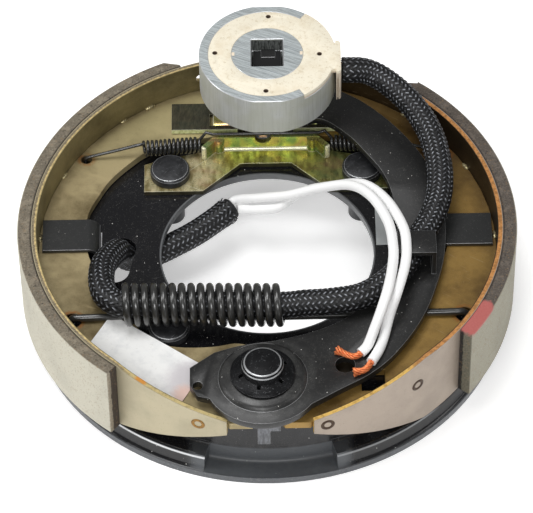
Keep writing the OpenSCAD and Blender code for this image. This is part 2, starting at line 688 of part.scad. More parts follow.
// The post stands in the arm; a round collar on it lies on the arm.
module magnet_post() {
    color([0.1, 0.1, 0.1]) translate([post_at[0], post_at[1], 0]) {
        post_bar(post_top - arm_far_z, 0, arm_far_z);
        translate([0, 0, arm_far_top]) cylinder(h = 1.4, r = 4.8, $fn = 48);
    }
}

// Spring clip that holds the magnet down on its post: a plate on the shoulder in the hole.
module magnet_clip() {
    size = [hole_w - 1.6, hole_l - 1.4];
    color([0.45, 0.46, 0.47]) translate([magnet_at[0], hole_y, clip_z]) difference() {
        translate([-size[0] / 2, -size[1] / 2, 0]) cube([size[0], size[1], clip_t]);
        translate([post_at[0] - magnet_at[0], post_at[1] - hole_y, 0]) post_bar(3 * clip_t, fit, -clip_t);
    }
}

module magnet_spring() {
    wire = 1.2;
    r = 6.6;
    low = arm_far_top + wire / 2 + seat;
    high = magnet_z - wire / 2 - seat;
    at = [post_at[0], post_at[1], 0];
    flat = [for (k = [0:11]) at + [r * cos(30 * k), r * sin(30 * k), low + 0.02 * k]];
    climb = high - low - 0.6;
    rise = [for (k = [0:48]) at + [r * cos(30 * k), r * sin(30 * k), low + 0.3 + climb * k / 48]];
    lid = [for (k = [1:11]) at + [r * cos(30 * k), r * sin(30 * k), high - 0.25 + 0.02 * k]];
    color([0.3, 0.3, 0.3]) tube(concat(flat, rise, lid), wire, 6, [0, 0, 1]);
}

groove_in = pole_r;                           // the resin fills the ring between pole and wall
groove_out = magnet_r - pot_wall;
groove_d = 12.5;
flat_k = 0.978;                               // flats on the pot, as a share of its radius
c_from = -58;                                 // side where the wall is cut away for the resin
c_to = 55;

module pot_outline(r) {
    intersection() {
        circle(r, $fn = 96);
        square([3 * r, 2 * r * flat_k], center = true);
    }
}
// The sector on the lead's side, where the wall stops short of the face.
module lead_side(h) {
    linear_extrude(h) polygon([[0, 0], polar(60, c_from), [90, -30], [90, 30], polar(60, c_to)]);
}
side_step = 2.2;                              // depth of that cut
hole_y = magnet_y + 0.5;                      // middle of the square hole

module magnet_pot() {
    color([0.62, 0.65, 0.67]) translate([magnet_at[0], magnet_at[1], magnet_z]) difference() {
        linear_extrude(magnet_h) difference() {
            pot_outline(magnet_r);
            translate([0, hole_y - magnet_y]) square([hole_w, hole_l], center = true);
        }
        translate([0, 0, magnet_h - groove_d]) difference() {
            cylinder(h = groove_d + 1, r = groove_out, $fn = 96);
            translate([0, 0, -1]) cylinder(h = groove_d + 3, r = groove_in, $fn = 96);
        }
        translate([0, 0, magnet_h - side_step]) difference() {
            lead_side(side_step + 1);
            translate([0, 0, -1]) cylinder(h = side_step + 3, r = groove_out - 1, $fn = 96);
        }
        translate([groove_out - 1, -4, magnet_h - groove_d + 1]) cube([pot_wall + 4, 8, groove_d]);
    }
    // shoulder in the hole that the clip holds
    color([0.5, 0.52, 0.54]) translate([magnet_at[0], magnet_at[1], magnet_z]) difference() {
        translate([-hole_w / 2 - 0.5, hole_y - magnet_y - hole_l / 2 - 0.5, 0])
            cube([hole_w + 1, hole_l + 1, ledge_h]);
        translate([post_at[0] - magnet_at[0], post_at[1] - magnet_at[1], 0])
            post_bar(3 * ledge_h, slide, -ledge_h);
    }
}

module magnet_coil() {
    color([0.6, 0.3, 0.12]) translate([magnet_at[0], magnet_at[1], magnet_top - groove_d + seat])
        difference() {
            cylinder(h = 8.4, r = groove_out - 0.6, $fn = 96);
            translate([0, 0, -1]) cylinder(h = 12, r = groove_in + 0.6, $fn = 96);
        }
}

boss_y = [-9.6, 6];                           // resin boss on the lead's side, from the centre
boss_x = 26.4;
boss_h = 14.5;
boss_in = magnet_r + 0.05;                    // face against the pot
module boss_outline() {
    r = 1.3;                                  // rounding of its outer corners
    arc = [0, 30, 60, 90];
    polygon(concat([[boss_in, boss_y[0]]],
        [for (a = arc) [boss_x - r, boss_y[0] + r] + polar(r, a - 90)],
        [for (a = arc) [boss_x - r, boss_y[1] - r] + polar(r, a)], [[boss_in, boss_y[1]]]));
}
module magnet_potting() {
    fill = groove_d - 8.4 - 2 * seat;
    hole_r = 0.75;
    ring_mid = (groove_in + groove_out) / 2;
    color([0.93, 0.88, 0.72]) translate([magnet_at[0], magnet_at[1], magnet_top]) difference() {
        union() {
            translate([0, 0, -fill]) difference() {
                cylinder(h = fill, r = groove_out - eps, $fn = 96);
                translate([0, 0, -1]) cylinder(h = fill + 2, r = groove_in + eps, $fn = 96);
            }
            translate([0, 0, -side_step + eps]) intersection() {
                lead_side(side_step - eps);
                difference() {
                    cylinder(h = side_step - eps, r = magnet_r, $fn = 96);
                    translate([0, 0, -1]) cylinder(h = side_step + 2, r = groove_out - 0.5, $fn = 96);
                }
            }
            // boss: its root fills the slot in the wall
            translate([groove_out - 0.9, -3.9, -fill]) cube([pot_wall + 2, 7.8, fill]);
            translate([0, 0, -boss_h]) linear_extrude(boss_h) boss_outline();
            translate([magnet_r - 2.2, boss_y[0] + 1.4, -side_step + eps])
                cube([2.6, boss_y[1] - boss_y[0] - 2.4, side_step - eps]);
        }
        // channel down the boss's front, beside the pot
        translate([boss_in + 0.35, boss_y[0] - 1, -boss_h - 1]) cube([0.5, 2, boss_h - side_step]);
        for (k = [0:3]) rotate(90 * k + 88) translate([ring_mid + 1.7, 0, -2])
            cylinder(h = 3, r = hole_r, $fn = 20);
    }
}

// Leads: the points are chosen by hand along the photographed route.

lead_rest = arm_top + lead_d / 2 + 0.1;
upper_route = [[28.2, 61.6, 31.8], [31, 61.8, 31.5], [35.2, 62.8, 30.2], [39.4, 62.6, 28.5],
    [44.2, 60.2, 26.8], [49.6, 55.6, 25], [54.4, 49.4, 23.4],
    [58.2, 42, 22], [60.6, 34, 21], [62, 21.5, 20], [61, 10, 18.6], [57.6, 0.4, 17.4],
    [53.6, -7, lead_rest + 0.2], [50.8, -13, lead_rest], [48.4, -18, lead_rest]];
lower_route = [[47.9, -19.2, lead_rest], [41.4, -27.2, 16.6], [32.4, -33.5, 16.6], [22, -35.6, 16.5],
    [13, -35.2, 15.3], [6, -34.9, 14.1], [-8, -34.5, 13.9], [-28, -34, 13.9], [-46, -33.5, 13.9],
    [-52, -33, 13.9], [-56.6, -28.6, 13.6], [-58.3, -22, 13.2], [-58, -14, 11.8], [-55.8, -7, 9.2],
    [-53.4, -0.6, 4.8], [-52.1, 2.6, 0], [-50.2, 4.8, -4.6], [-46, 6.8, -7], [-40, 9.2, -7.2],
    [-33, 12.8, -6.4], [-25.6, 17.4, -5.8], [-18, 23.4, -5], [-12.8, 27.8, -4.2]];
wire_route_a = [[-13.2, 29.9, -4], [-11.6, 31, -3.7], [-8.5, 30.6, -2.4], [-4.5, 28.8, -0.3],
    [1.3, 26.7, 2.5], [8.5, 24.3, 6], [19.2, 21.5, 12.5], [29.8, 16.2, 19.5], [37.2, 5.8, 24.4],
    [42.4, -7.7, 26], [43.7, -18.9, 26.4], [43.4, -26.9, 26.6], [41.6, -37.6, 26.8], [39, -44.7, 23],
    [36.1, -50.2, 17.8], [33.8, -54.4, 14.6], [31.4, -56.8, 13.6]];
wire_route_b = [[-10.8, 27, -4.2], [-8.8, 27.2, -4.6], [-6.2, 26.6, -4.2], [-3, 25.4, -2.8], [5, 24.2, 0],
    [12.3, 27, 4.4], [24.6, 23.4, 11.6], [34.6, 17, 19], [42.3, 5, 23.6], [47.5, -9.3, 25.6],
    [48.4, -18.7, 25.6], [47.6, -27, 25], [44.8, -37, 23.4], [41.9, -42.7, 17.4], [39.4, -50.8, 13.9],
    [37.4, -56.4, 13.75], [34.9, -61, 13.75]];
core_a = [[31.2, -57, 13.55], [30.2, -57.8, 13.4], [27.6, -57.6, 13.2], [20.8, -53.4, 13.1]];
core_b = [[34.75, -61.3, 13.75], [34.1, -62.5, 13.6], [32, -64.4, 13.3], [26.4, -65.4, 13.2]];

module lead_upper() { color([0.08, 0.08, 0.085]) tube(smooth(upper_route, 2), lead_d, 8, [0, 0, 1]); }
module lead_lower() {
    color([0.08, 0.08, 0.085]) tube(smooth(lower_route, 2), lead_d, 8, [0, 0, 1]);
}
module supply_wire_a() { color([0.93, 0.93, 0.92]) tube(smooth(wire_route_a, 2), wire_d, 8, [0, 0, 1]); }
module supply_wire_b() { color([0.93, 0.93, 0.92]) tube(smooth(wire_route_b, 2), wire_d, 8, [0, 0, 1]); }
module wire_cores() {
    color([0.8, 0.4, 0.2]) {
        tube(core_a, 2.6, 8, [0, 0, 1]);
        tube(core_b, 2.6, 8, [0, 0, 1]);
    }
}

backing_plate();
pivot_pin();
push_nut();
mounting_studs();
adjuster_bracket();
adjuster_housing();
adjuster_screw();
star_wheel();
adjuster_socket_left();
adjuster_socket_right();
secondary_table();
secondary_web();
secondary_lining();
primary_table();
primary_web();
primary_lining();
retractor_spring();
adjuster_spring();
hold_down_left();
hold_down_right();
actuating_arm();
magnet_post();
magnet_spring();
magnet_clip();
magnet_pot();
magnet_coil();
magnet_potting();
lead_upper();
lead_lower();
supply_wire_a();
supply_wire_b();
wire_cores();
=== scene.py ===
"""Electric trailer brake: finishes, springs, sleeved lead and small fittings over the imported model."""
import logging
import math
import random
from dataclasses import dataclass, field
from enum import Enum
from typing import Sequence

import bpy
from mathutils import Matrix, Vector


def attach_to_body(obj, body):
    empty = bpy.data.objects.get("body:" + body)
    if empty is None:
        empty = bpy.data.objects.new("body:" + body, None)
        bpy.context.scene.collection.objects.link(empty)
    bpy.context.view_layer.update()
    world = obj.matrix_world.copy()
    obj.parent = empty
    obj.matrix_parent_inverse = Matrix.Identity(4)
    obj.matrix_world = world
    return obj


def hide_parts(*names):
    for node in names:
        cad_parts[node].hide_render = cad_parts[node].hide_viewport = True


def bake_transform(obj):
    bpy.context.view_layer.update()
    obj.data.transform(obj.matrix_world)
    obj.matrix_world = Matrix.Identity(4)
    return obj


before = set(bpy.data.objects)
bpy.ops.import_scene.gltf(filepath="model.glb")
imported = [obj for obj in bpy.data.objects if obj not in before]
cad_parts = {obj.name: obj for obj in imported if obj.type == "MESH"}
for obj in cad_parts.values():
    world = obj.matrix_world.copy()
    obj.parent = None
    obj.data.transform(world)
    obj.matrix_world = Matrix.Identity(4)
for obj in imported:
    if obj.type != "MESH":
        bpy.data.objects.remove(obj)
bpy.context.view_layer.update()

LOG = logging.getLogger("trailer_brake")
MM = 0.001
CLOSE = 1e-6
IMAGE_WIDTH = 533
Point = Sequence[float]
Colour = tuple[float, float, float]


def tone(red: float, green: float, blue: float) -> Colour:
    """Turn a colour named in 0 to 255 steps into the linear one that shaders take.

    Args:
        red: Red, as it is seen.
        green: Green.
        blue: Blue.

    Returns:
        The linear colour.
    """
    def linear(part: float) -> float:
        """Linear value of one channel."""
        part /= 255
        return part / 12.92 if part <= 0.04045 else ((part + 0.055) / 1.055) ** 2.4
    return linear(red), linear(green), linear(blue)


def scaled(colour: Colour, share: float) -> Colour:
    """A share of a colour: darker below 1, lighter above."""
    return tuple(share * part for part in colour)


# ---------------------------------------------------------------- shader graph


class Value:
    """A shader socket that takes part in Python arithmetic; each operation adds a Math node."""

    def __init__(self, graph: "Graph", socket: bpy.types.NodeSocket) -> None:
        """Keep the socket and the graph that it belongs to."""
        self.graph = graph
        self.socket = socket

    def _math(self, operation: str, first: "Operand", second: "Operand") -> "Value":
        """Add one Math node on two operands."""
        return self.graph.node("ShaderNodeMath", {"operation": operation}, {0: first, 1: second})

    def __add__(self, other: "Operand") -> "Value":
        """Sum."""
        return self._math("ADD", self, other)

    def __radd__(self, other: "Operand") -> "Value":
        """Reflected sum."""
        return self._math("ADD", other, self)

    def __sub__(self, other: "Operand") -> "Value":
        """Difference."""
        return self._math("SUBTRACT", self, other)

    def __rsub__(self, other: "Operand") -> "Value":
        """Reflected difference."""
        return self._math("SUBTRACT", other, self)

    def __mul__(self, other: "Operand") -> "Value":
        """Product."""
        return self._math("MULTIPLY", self, other)

    def __rmul__(self, other: "Operand") -> "Value":
        """Reflected product."""
        return self._math("MULTIPLY", other, self)

    def __truediv__(self, other: "Operand") -> "Value":
        """Quotient."""
        return self._math("DIVIDE", self, other)

    def __pow__(self, other: "Operand") -> "Value":
        """Power."""
        return self._math("POWER", self, other)

    def __abs__(self) -> "Value":
        """Absolute value."""
        return self._math("ABSOLUTE", self, 0.0)

    def sine(self) -> "Value":
        """Sine of the value, in radians."""
        return self._math("SINE", self, 0.0)

    def over(self, other: "Operand") -> "Value":
        """The larger of two masks."""
        return self._math("MAXIMUM", self, other)

    def under(self, other: "Operand") -> "Value":
        """The smaller of two masks."""
        return self._math("MINIMUM", self, other)

    def between(self, low: float, high: float) -> "Value":
        """Smooth step from 0 at low to 1 at high; low may be the larger one.

        Args:
            low: Value where the mask is 0.
            high: Value where the mask is 1.

        Returns:
            The mask.
        """
        flipped = low > high
        ends = (high, low) if flipped else (low, high)
        mask = self.graph.node("ShaderNodeMapRange", {"interpolation_type": "SMOOTHSTEP"},
                               {0: self, 1: ends[0], 2: ends[1]})
        return 1.0 - mask if flipped else mask

    def within(self, low: float, high: float, soft: float = 0.2) -> "Value":
        """Mask of the values from low to high, which fades out over a soft margin."""
        return self.between(low - soft, low) * self.between(high + soft, high)


Operand = Value | float


class Graph:
    """The node tree of one material, measured in millimetres on the Object coordinates."""

    def __init__(self, name: str) -> None:
        """Start a material with an empty Principled shader.

        Args:
            name: The material's name.
        """
        self.material = bpy.data.materials.new(name)
        self.material.use_nodes = True
        self.tree = self.material.node_tree
        self.shader = self.tree.nodes["Principled BSDF"]
        self._place: Value | None = None
        self._axes: list[Value] = []

    def node(self, kind: str, settings: dict[str, object] | None = None,
             inputs: dict[int | str, object] | None = None, out: int = 0) -> Value:
        """Add one node.

        Args:
            kind: The node's type.
            settings: Its properties, set first; "stops" is a ramp's list of (place, colour).
            inputs: Values or links of its sockets, by index or name.
            out: Index of the output that is returned.

        Returns:
            That output, ready for arithmetic.
        """
        made = self.tree.nodes.new(kind)
        for key, value in (settings or {}).items():
            if key == "stops":
                self._stops(made.color_ramp, value)
            else:
                setattr(made, key, value)
        for key, value in (inputs or {}).items():
            self._feed(made.inputs[key], value)
        return Value(self, made.outputs[out])

    def _feed(self, socket: bpy.types.NodeSocket, value: object) -> None:
        """Link a socket or set its value.

        Args:
            socket: The socket.
            value: Another node's output, a number, a vector or a colour of three parts.
        """
        if isinstance(value, Value):
            self.tree.links.new(value.socket, socket)
        else:
            socket.default_value = (*value, 1.0) if socket.type == "RGBA" else value

    @staticmethod
    def _stops(ramp: bpy.types.ColorRamp, stops: Sequence[tuple[float, Colour]]) -> None:
        """Set a ramp's stops.

        Args:
            ramp: The ramp.
            stops: Place and colour of each stop.
        """
        while len(ramp.elements) < len(stops):
            ramp.elements.new(1.0)
        for element, (place, colour) in zip(ramp.elements, stops):
            element.position = place
            element.color = (*colour, 1.0)

    def place(self) -> Value:
        """Object coordinates in millimetres.

        Returns:
            The coordinates, made on first use.
        """
        if self._place is None:
            raw = self.node("ShaderNodeTexCoord", out=3)
            self._place = self.node("ShaderNodeVectorMath", {"operation": "SCALE"}, {0: raw, "Scale": 1 / MM})
        return self._place

    def parts(self, vector: Value) -> list[Value]:
        """The three numbers of a vector."""
        split = self.node("ShaderNodeSeparateXYZ", None, {0: vector})
        return [Value(self, output) for output in split.socket.node.outputs]

    def axis(self, index: int) -> Value:
        """One coordinate in millimetres, split off once."""
        self._axes = self._axes or self.parts(self.place())
        return self._axes[index]

    def radius(self, x: float = 0.0, y: float = 0.0) -> Value:
        """Distance from an upright axis through (x, y), in millimetres."""
        east, north = self.axis(0) - x, self.axis(1) - y
        return (east * east + north * north) ** 0.5

    def uv(self) -> Value:
        """The piece's own UV map."""
        return self.node("ShaderNodeTexCoord", out=2)

    def turned(self, stretch: Point, turn: float = 0.0) -> Value:
        """Coordinates turned about the upright axis, then stretched along each axis.

        Args:
            stretch: Scale on each axis; below 1 draws the pattern out.
            turn: The turn, in degrees.

        Returns:
            The new coordinates.
        """
        kind = {"vector_type": "POINT"}
        spun = self.node("ShaderNodeMapping", kind,
                         {"Vector": self.place(), "Rotation": [0.0, 0.0, math.radians(turn)]})
        return self.node("ShaderNodeMapping", kind, {"Vector": spun, "Scale": list(stretch)})

    def noise(self, scale: float, detail: float = 3.0, rough: float = 0.55, vector: Value | None = None) -> Value:
        """Smooth noise from 0 to 1; scale counts its features per millimetre."""
        return self.node("ShaderNodeTexNoise", None,
                         {"Vector": vector or self.place(), "Scale": scale, "Detail": detail, "Roughness": rough})

    def cells(self, scale: float) -> Value:
        """Distance from the nearest of many scattered points."""
        return self.node("ShaderNodeTexVoronoi", {"feature": "F1"}, {"Vector": self.place(), "Scale": scale})

    def dust(self, scale: float, size: float, share: tuple[float, float] = (0.5, 0.62)) -> Value:
        """Scattered fine specks, thicker in some patches than in others.

        Args:
            scale: Specks per millimetre.
            size: Size of a speck as a share of its cell.
            share: Noise levels between which the specks come in.

        Returns:
            The mask.
        """
        spots = self.cells(scale).between(size, size * 0.55)
        return spots * self.noise(scale * 0.35, 2.0).between(*share)

    def scratches(self, turn: float, width: float, length: float, share: tuple[float, float] = (0.56, 0.66)) -> Value:
        """Fine straight scratches in one direction on a face that looks up.

        Args:
            turn: Direction, in degrees from X.
            width: Scratches per millimetre, across them.
            length: Scratches per millimetre, along them.
            share: Noise levels between which they come in.

        Returns:
            The mask.
        """
        drawn = self.turned((length, width, width), -turn)
        return self.noise(1.0, 2.0, 0.6, drawn).between(*share)

    def ramp(self, value: Value, *stops: tuple[float, Colour]) -> Value:
        """Colour from a value."""
        return self.node("ShaderNodeValToRGB", {"stops": stops}, {0: value})

    def mix(self, mask: Operand, low: "Value | Colour", high: "Value | Colour") -> Value:
        """Mix two colours by a mask."""
        return self.node("ShaderNodeMix", {"data_type": "RGBA"}, {0: mask, 6: low, 7: high}, out=2)

    def layers(self, colour: Value, *layers: tuple[Operand, "Value | Colour"]) -> Value:
        """Lay colours over each other, each through its own mask.

        Args:
            colour: The lowest colour.
            layers: Mask and colour of each layer, the lowest first.

        Returns:
            The colour on top.
        """
        for mask, upper in layers:
            colour = self.mix(mask, colour, upper)
        return colour

    def spot(self, x: float, y: float, size: float, soft: float = 0.4) -> Value:
        """A round mask about an upright axis, with a soft edge in millimetres."""
        return self.radius(x, y).between(size + soft, size)

    def bump(self, height: Value, depth: float, strength: float = 1.0, under: Value | None = None) -> Value:
        """Relief from a height.

        Args:
            height: Height from 0 to 1.
            depth: Depth of the relief in millimetres.
            strength: How much of it shows.
            under: Relief that this one lies on.

        Returns:
            The normal.
        """
        inputs: dict[int | str, object] = {"Height": height, "Distance": depth * MM, "Strength": strength}
        if under is not None:
            inputs["Normal"] = under
        return self.node("ShaderNodeBump", None, inputs)

    def surface(self, **sockets: object) -> bpy.types.Material:
        """Set the shader's sockets, named with underscores for spaces.

        Args:
            sockets: A value or a link for each named socket.

        Returns:
            The finished material.
        """
        for key, value in sockets.items():
            self._feed(self.shader.inputs[key.replace("_", " ")], value)
        return self.material


# ---------------------------------------------------------------- finishes


@dataclass(frozen=True)
class Finish:
    """A finish that is painted once and shared by every piece that wears it."""

    name: str

    def material(self) -> bpy.types.Material:
        """The finish's material, made on first use."""
        known = bpy.data.materials.get(self.name)
        return known or self.paint(Graph(self.name))

    def paint(self, g: Graph) -> bpy.types.Material:
        """Build the shader; each finish has its own."""
        raise NotImplementedError


class CoatPart(Enum):
    """Which part a black coat is for; two of them have pale places of their own: painted highlights and reflections on
    the plate, a rubbed grey tab and a painted sheen on the arm.
    """

    PLAIN = "plain"
    PLATE = "plate"
    ARM = "arm"


@dataclass(frozen=True)
class BlackCoat(Finish):
    """Black paint over pressed steel, glossy or satin, with dust and fine rubs."""

    base: Colour = (0.005, 0.005, 0.006)
    rough: float = 0.13
    dust: float = 0.5
    grain: float = 0.05
    part: CoatPart = CoatPart.PLAIN
    shelf_z: float = -13.6
    tab_y: float = -81.2
    tab_top: float = 8.8
    sheen: float = 17.0

    def paint(self, g: Graph) -> bpy.types.Material:
        """Paint the coat, its dust, rubs and orange peel.

        Args:
            g: The material's graph.

        Returns:
            The material.
        """
        fine = g.dust(1.7, 0.2, (0.46, 0.62)).over(g.dust(3.1, 0.22, (0.48, 0.64)))
        coarse = g.dust(0.42, 0.085, (0.46, 0.54))
        film = g.noise(0.05, 4.0, 0.6)
        haze = g.noise(0.9, 5.0, 0.75).between(0.5, 0.72) * film.between(0.42, 0.66)
        rubs = g.scratches(18.0, 2.6, 0.11, (0.66, 0.74)) * film.between(0.45, 0.7)
        specks = fine * 0.75
        colour = g.mix(film * 0.35, self.base, scaled(self.base, 3.2))
        colour = g.layers(colour, (haze * 0.12, tone(120, 118, 112)), (specks * self.dust, tone(150, 148, 142)),
                          (coarse, tone(236, 234, 228)), (rubs * 0.16, tone(120, 120, 120)))
        rough = self.rough + film * 0.12 + specks.over(coarse) * 0.35 + haze * 0.12 + rubs * 0.15
        if self.part is CoatPart.PLATE:
            colour, rough = self._painted_plate_light(g, colour, rough)
        elif self.part is CoatPart.ARM:
            colour, rough = self._tab_and_painted_sheen(g, colour, rough)
        peel = g.bump(g.noise(1.1, 2.0), 0.05, 0.12)
        normal = g.bump(g.noise(3.0, 3.0), self.grain, 0.5, peel)
        return g.surface(Base_Color=colour, Roughness=rough, Normal=normal)

    def _painted_plate_light(self, g: Graph, colour: Value, rough: Value) -> tuple[Value, Value]:
        """Paint a highlight on the plate's hub edge, reflections on its rim and front recess, and a highlight along
        the front ledge's lip.

        Args:
            g: The material's graph.
            colour: Colour so far.
            rough: Roughness so far.

        Returns:
            Both, with the pale places in.
        """
        # Painted highlight on the hub edge.
        hub = g.radius().between(HUB_R + 0.75, HUB_R + 0.25)
        colour = g.mix(hub * 0.7, colour, tone(114, 116, 118))
        # Painted reflection on the rim's outer band, broken up by streaks.
        rim = g.radius().between(RIM_R - 0.75, RIM_R - 0.3)
        inside_rim = g.radius().between(RIM_R - 0.3, RIM_R - 0.8)
        streak = g.noise(0.5, 3.0, 0.6, g.turned((1.0, 1.0, 3.0)))
        colour = g.mix(rim * (0.4 + streak * 0.5), colour, tone(104, 107, 111))
        # Painted reflection on the front recess.
        front = g.axis(1).between(-56.0, -64.0)
        shelf_reflection = front * abs(g.axis(0)).between(30.0, 25.0) * inside_rim
        shelf_reflection = shelf_reflection * g.axis(2).between(self.shelf_z + 1.0, self.shelf_z)
        colour = g.mix(shelf_reflection * (0.42 + streak * 0.3), colour, tone(104, 108, 112))
        # Painted highlight along the front ledge's lip.
        lip = front * g.radius().within(LEDGE_R - 0.15, LEDGE_R + 0.7, 0.15)
        lip = lip * g.axis(2).within(self.shelf_z - 0.7, self.shelf_z + 0.7, 0.3)
        colour = g.mix(lip * g.axis(0).between(20.0, -20.0).over(0.3), colour, tone(222, 224, 226))
        return colour, rough + hub * 0.1 + rim * 0.08 + shelf_reflection * 0.2

    def _tab_and_painted_sheen(self, g: Graph, colour: Value, rough: Value) -> tuple[Value, Value]:
        """Rub the arm's front tab grey and paint a soft highlight onto the disc round the pin.

        Args:
            g: The material's graph.
            colour: Colour so far.
            rough: Roughness so far.

        Returns:
            Both, with the rubbed places in.
        """
        tab = g.axis(1).between(self.tab_y + 0.3, self.tab_y) * g.axis(2).between(self.tab_top, self.tab_top - 0.6)
        brushed = g.noise(1.1, 3.0, 0.6, g.turned((1.6, 1.0, 0.4)))
        bare = g.mix(brushed.between(0.35, 0.65), tone(78, 80, 84), tone(122, 124, 130))
        colour = g.mix(tab * 0.85, colour, bare)
        # Painted sheen on the disc round the pin; the lower roughness there is real gloss.
        disc = g.spot(*PIVOT, self.sheen, 3.0) * g.noise(0.16, 3.0, 0.6).between(0.36, 0.66)
        colour = g.mix(disc * 0.16, colour, tone(120, 120, 118))
        return colour, rough + tab * 0.15 - disc * 0.12


@dataclass(frozen=True)
class DarkSteel(Finish):
    """Black oxide on turned steel, with rings of the tool about one upright axis."""

    centre: tuple[float, float] = (0.0, 0.0)
    base: Colour = (0.016, 0.0165, 0.018)
    rings: bool = False
    feed: float = 9.0

    def paint(self, g: Graph) -> bpy.types.Material:
        """Paint oxide, handling marks and tool rings.

        Args:
            g: The material's graph.

        Returns:
            The material.
        """
        film = g.noise(0.3, 4.0, 0.65)
        fleck = g.dust(1.8, 0.2, (0.5, 0.68))
        marks = g.scratches(52.0, 3.4, 0.35, (0.63, 0.72)).over(g.scratches(-28.0, 3.1, 0.3, (0.66, 0.74)))
        colour = g.mix(film.between(0.3, 0.75), self.base, scaled(self.base, 2.8))
        if self.rings:
            colour = g.mix(0.8, colour, (0.004, 0.004, 0.0045))
        colour = g.mix((fleck * 0.4).over(marks * 0.4), colour, tone(150, 152, 155))
        normal = g.bump(g.noise(2.6, 3.0), 0.04, 0.5)
        if self.rings:
            normal = g.bump((g.radius(*self.centre) * self.feed).sine(), 0.012, 0.6, normal)
        return g.surface(Base_Color=colour, Metallic=0.35, Roughness=0.3 + film * 0.2 + fleck * 0.2, Normal=normal,
                         Specular_IOR_Level=0.2 if self.rings else 0.5)


@dataclass(frozen=True)
class BrightSteel(Finish):
    """Bare or thinly covered metal on a cut, turned or rubbed edge; on a broken edge its light tone is partly painted
    highlight.
    """

    base: Colour = (0.55, 0.56, 0.57)
    rough: float = 0.28
    metal: float = 0.9
    worn: float = 0.7

    def paint(self, g: Graph) -> bpy.types.Material:
        """Paint a bare edge with small nicks.

        Args:
            g: The material's graph.

        Returns:
            The material.
        """
        film = g.noise(0.8, 3.0)
        nicks = g.cells(1.6).between(0.34, 0.12) * film.between(0.45, 0.62)
        colour = g.mix(film, self.base, scaled(self.base, 0.7))
        colour = g.mix(nicks * self.worn, colour, tone(52, 50, 48))
        return g.surface(Base_Color=colour, Metallic=self.metal, Roughness=self.rough + film * 0.15,
                         Normal=g.bump(g.noise(2.0, 3.0), 0.03, 0.5))


class ZincPart(Enum):
    """Which part of the adjuster a zinc finish is for."""

    PLAIN = "plain"
    BRACKET = "bracket"
    HOUSING = "housing"


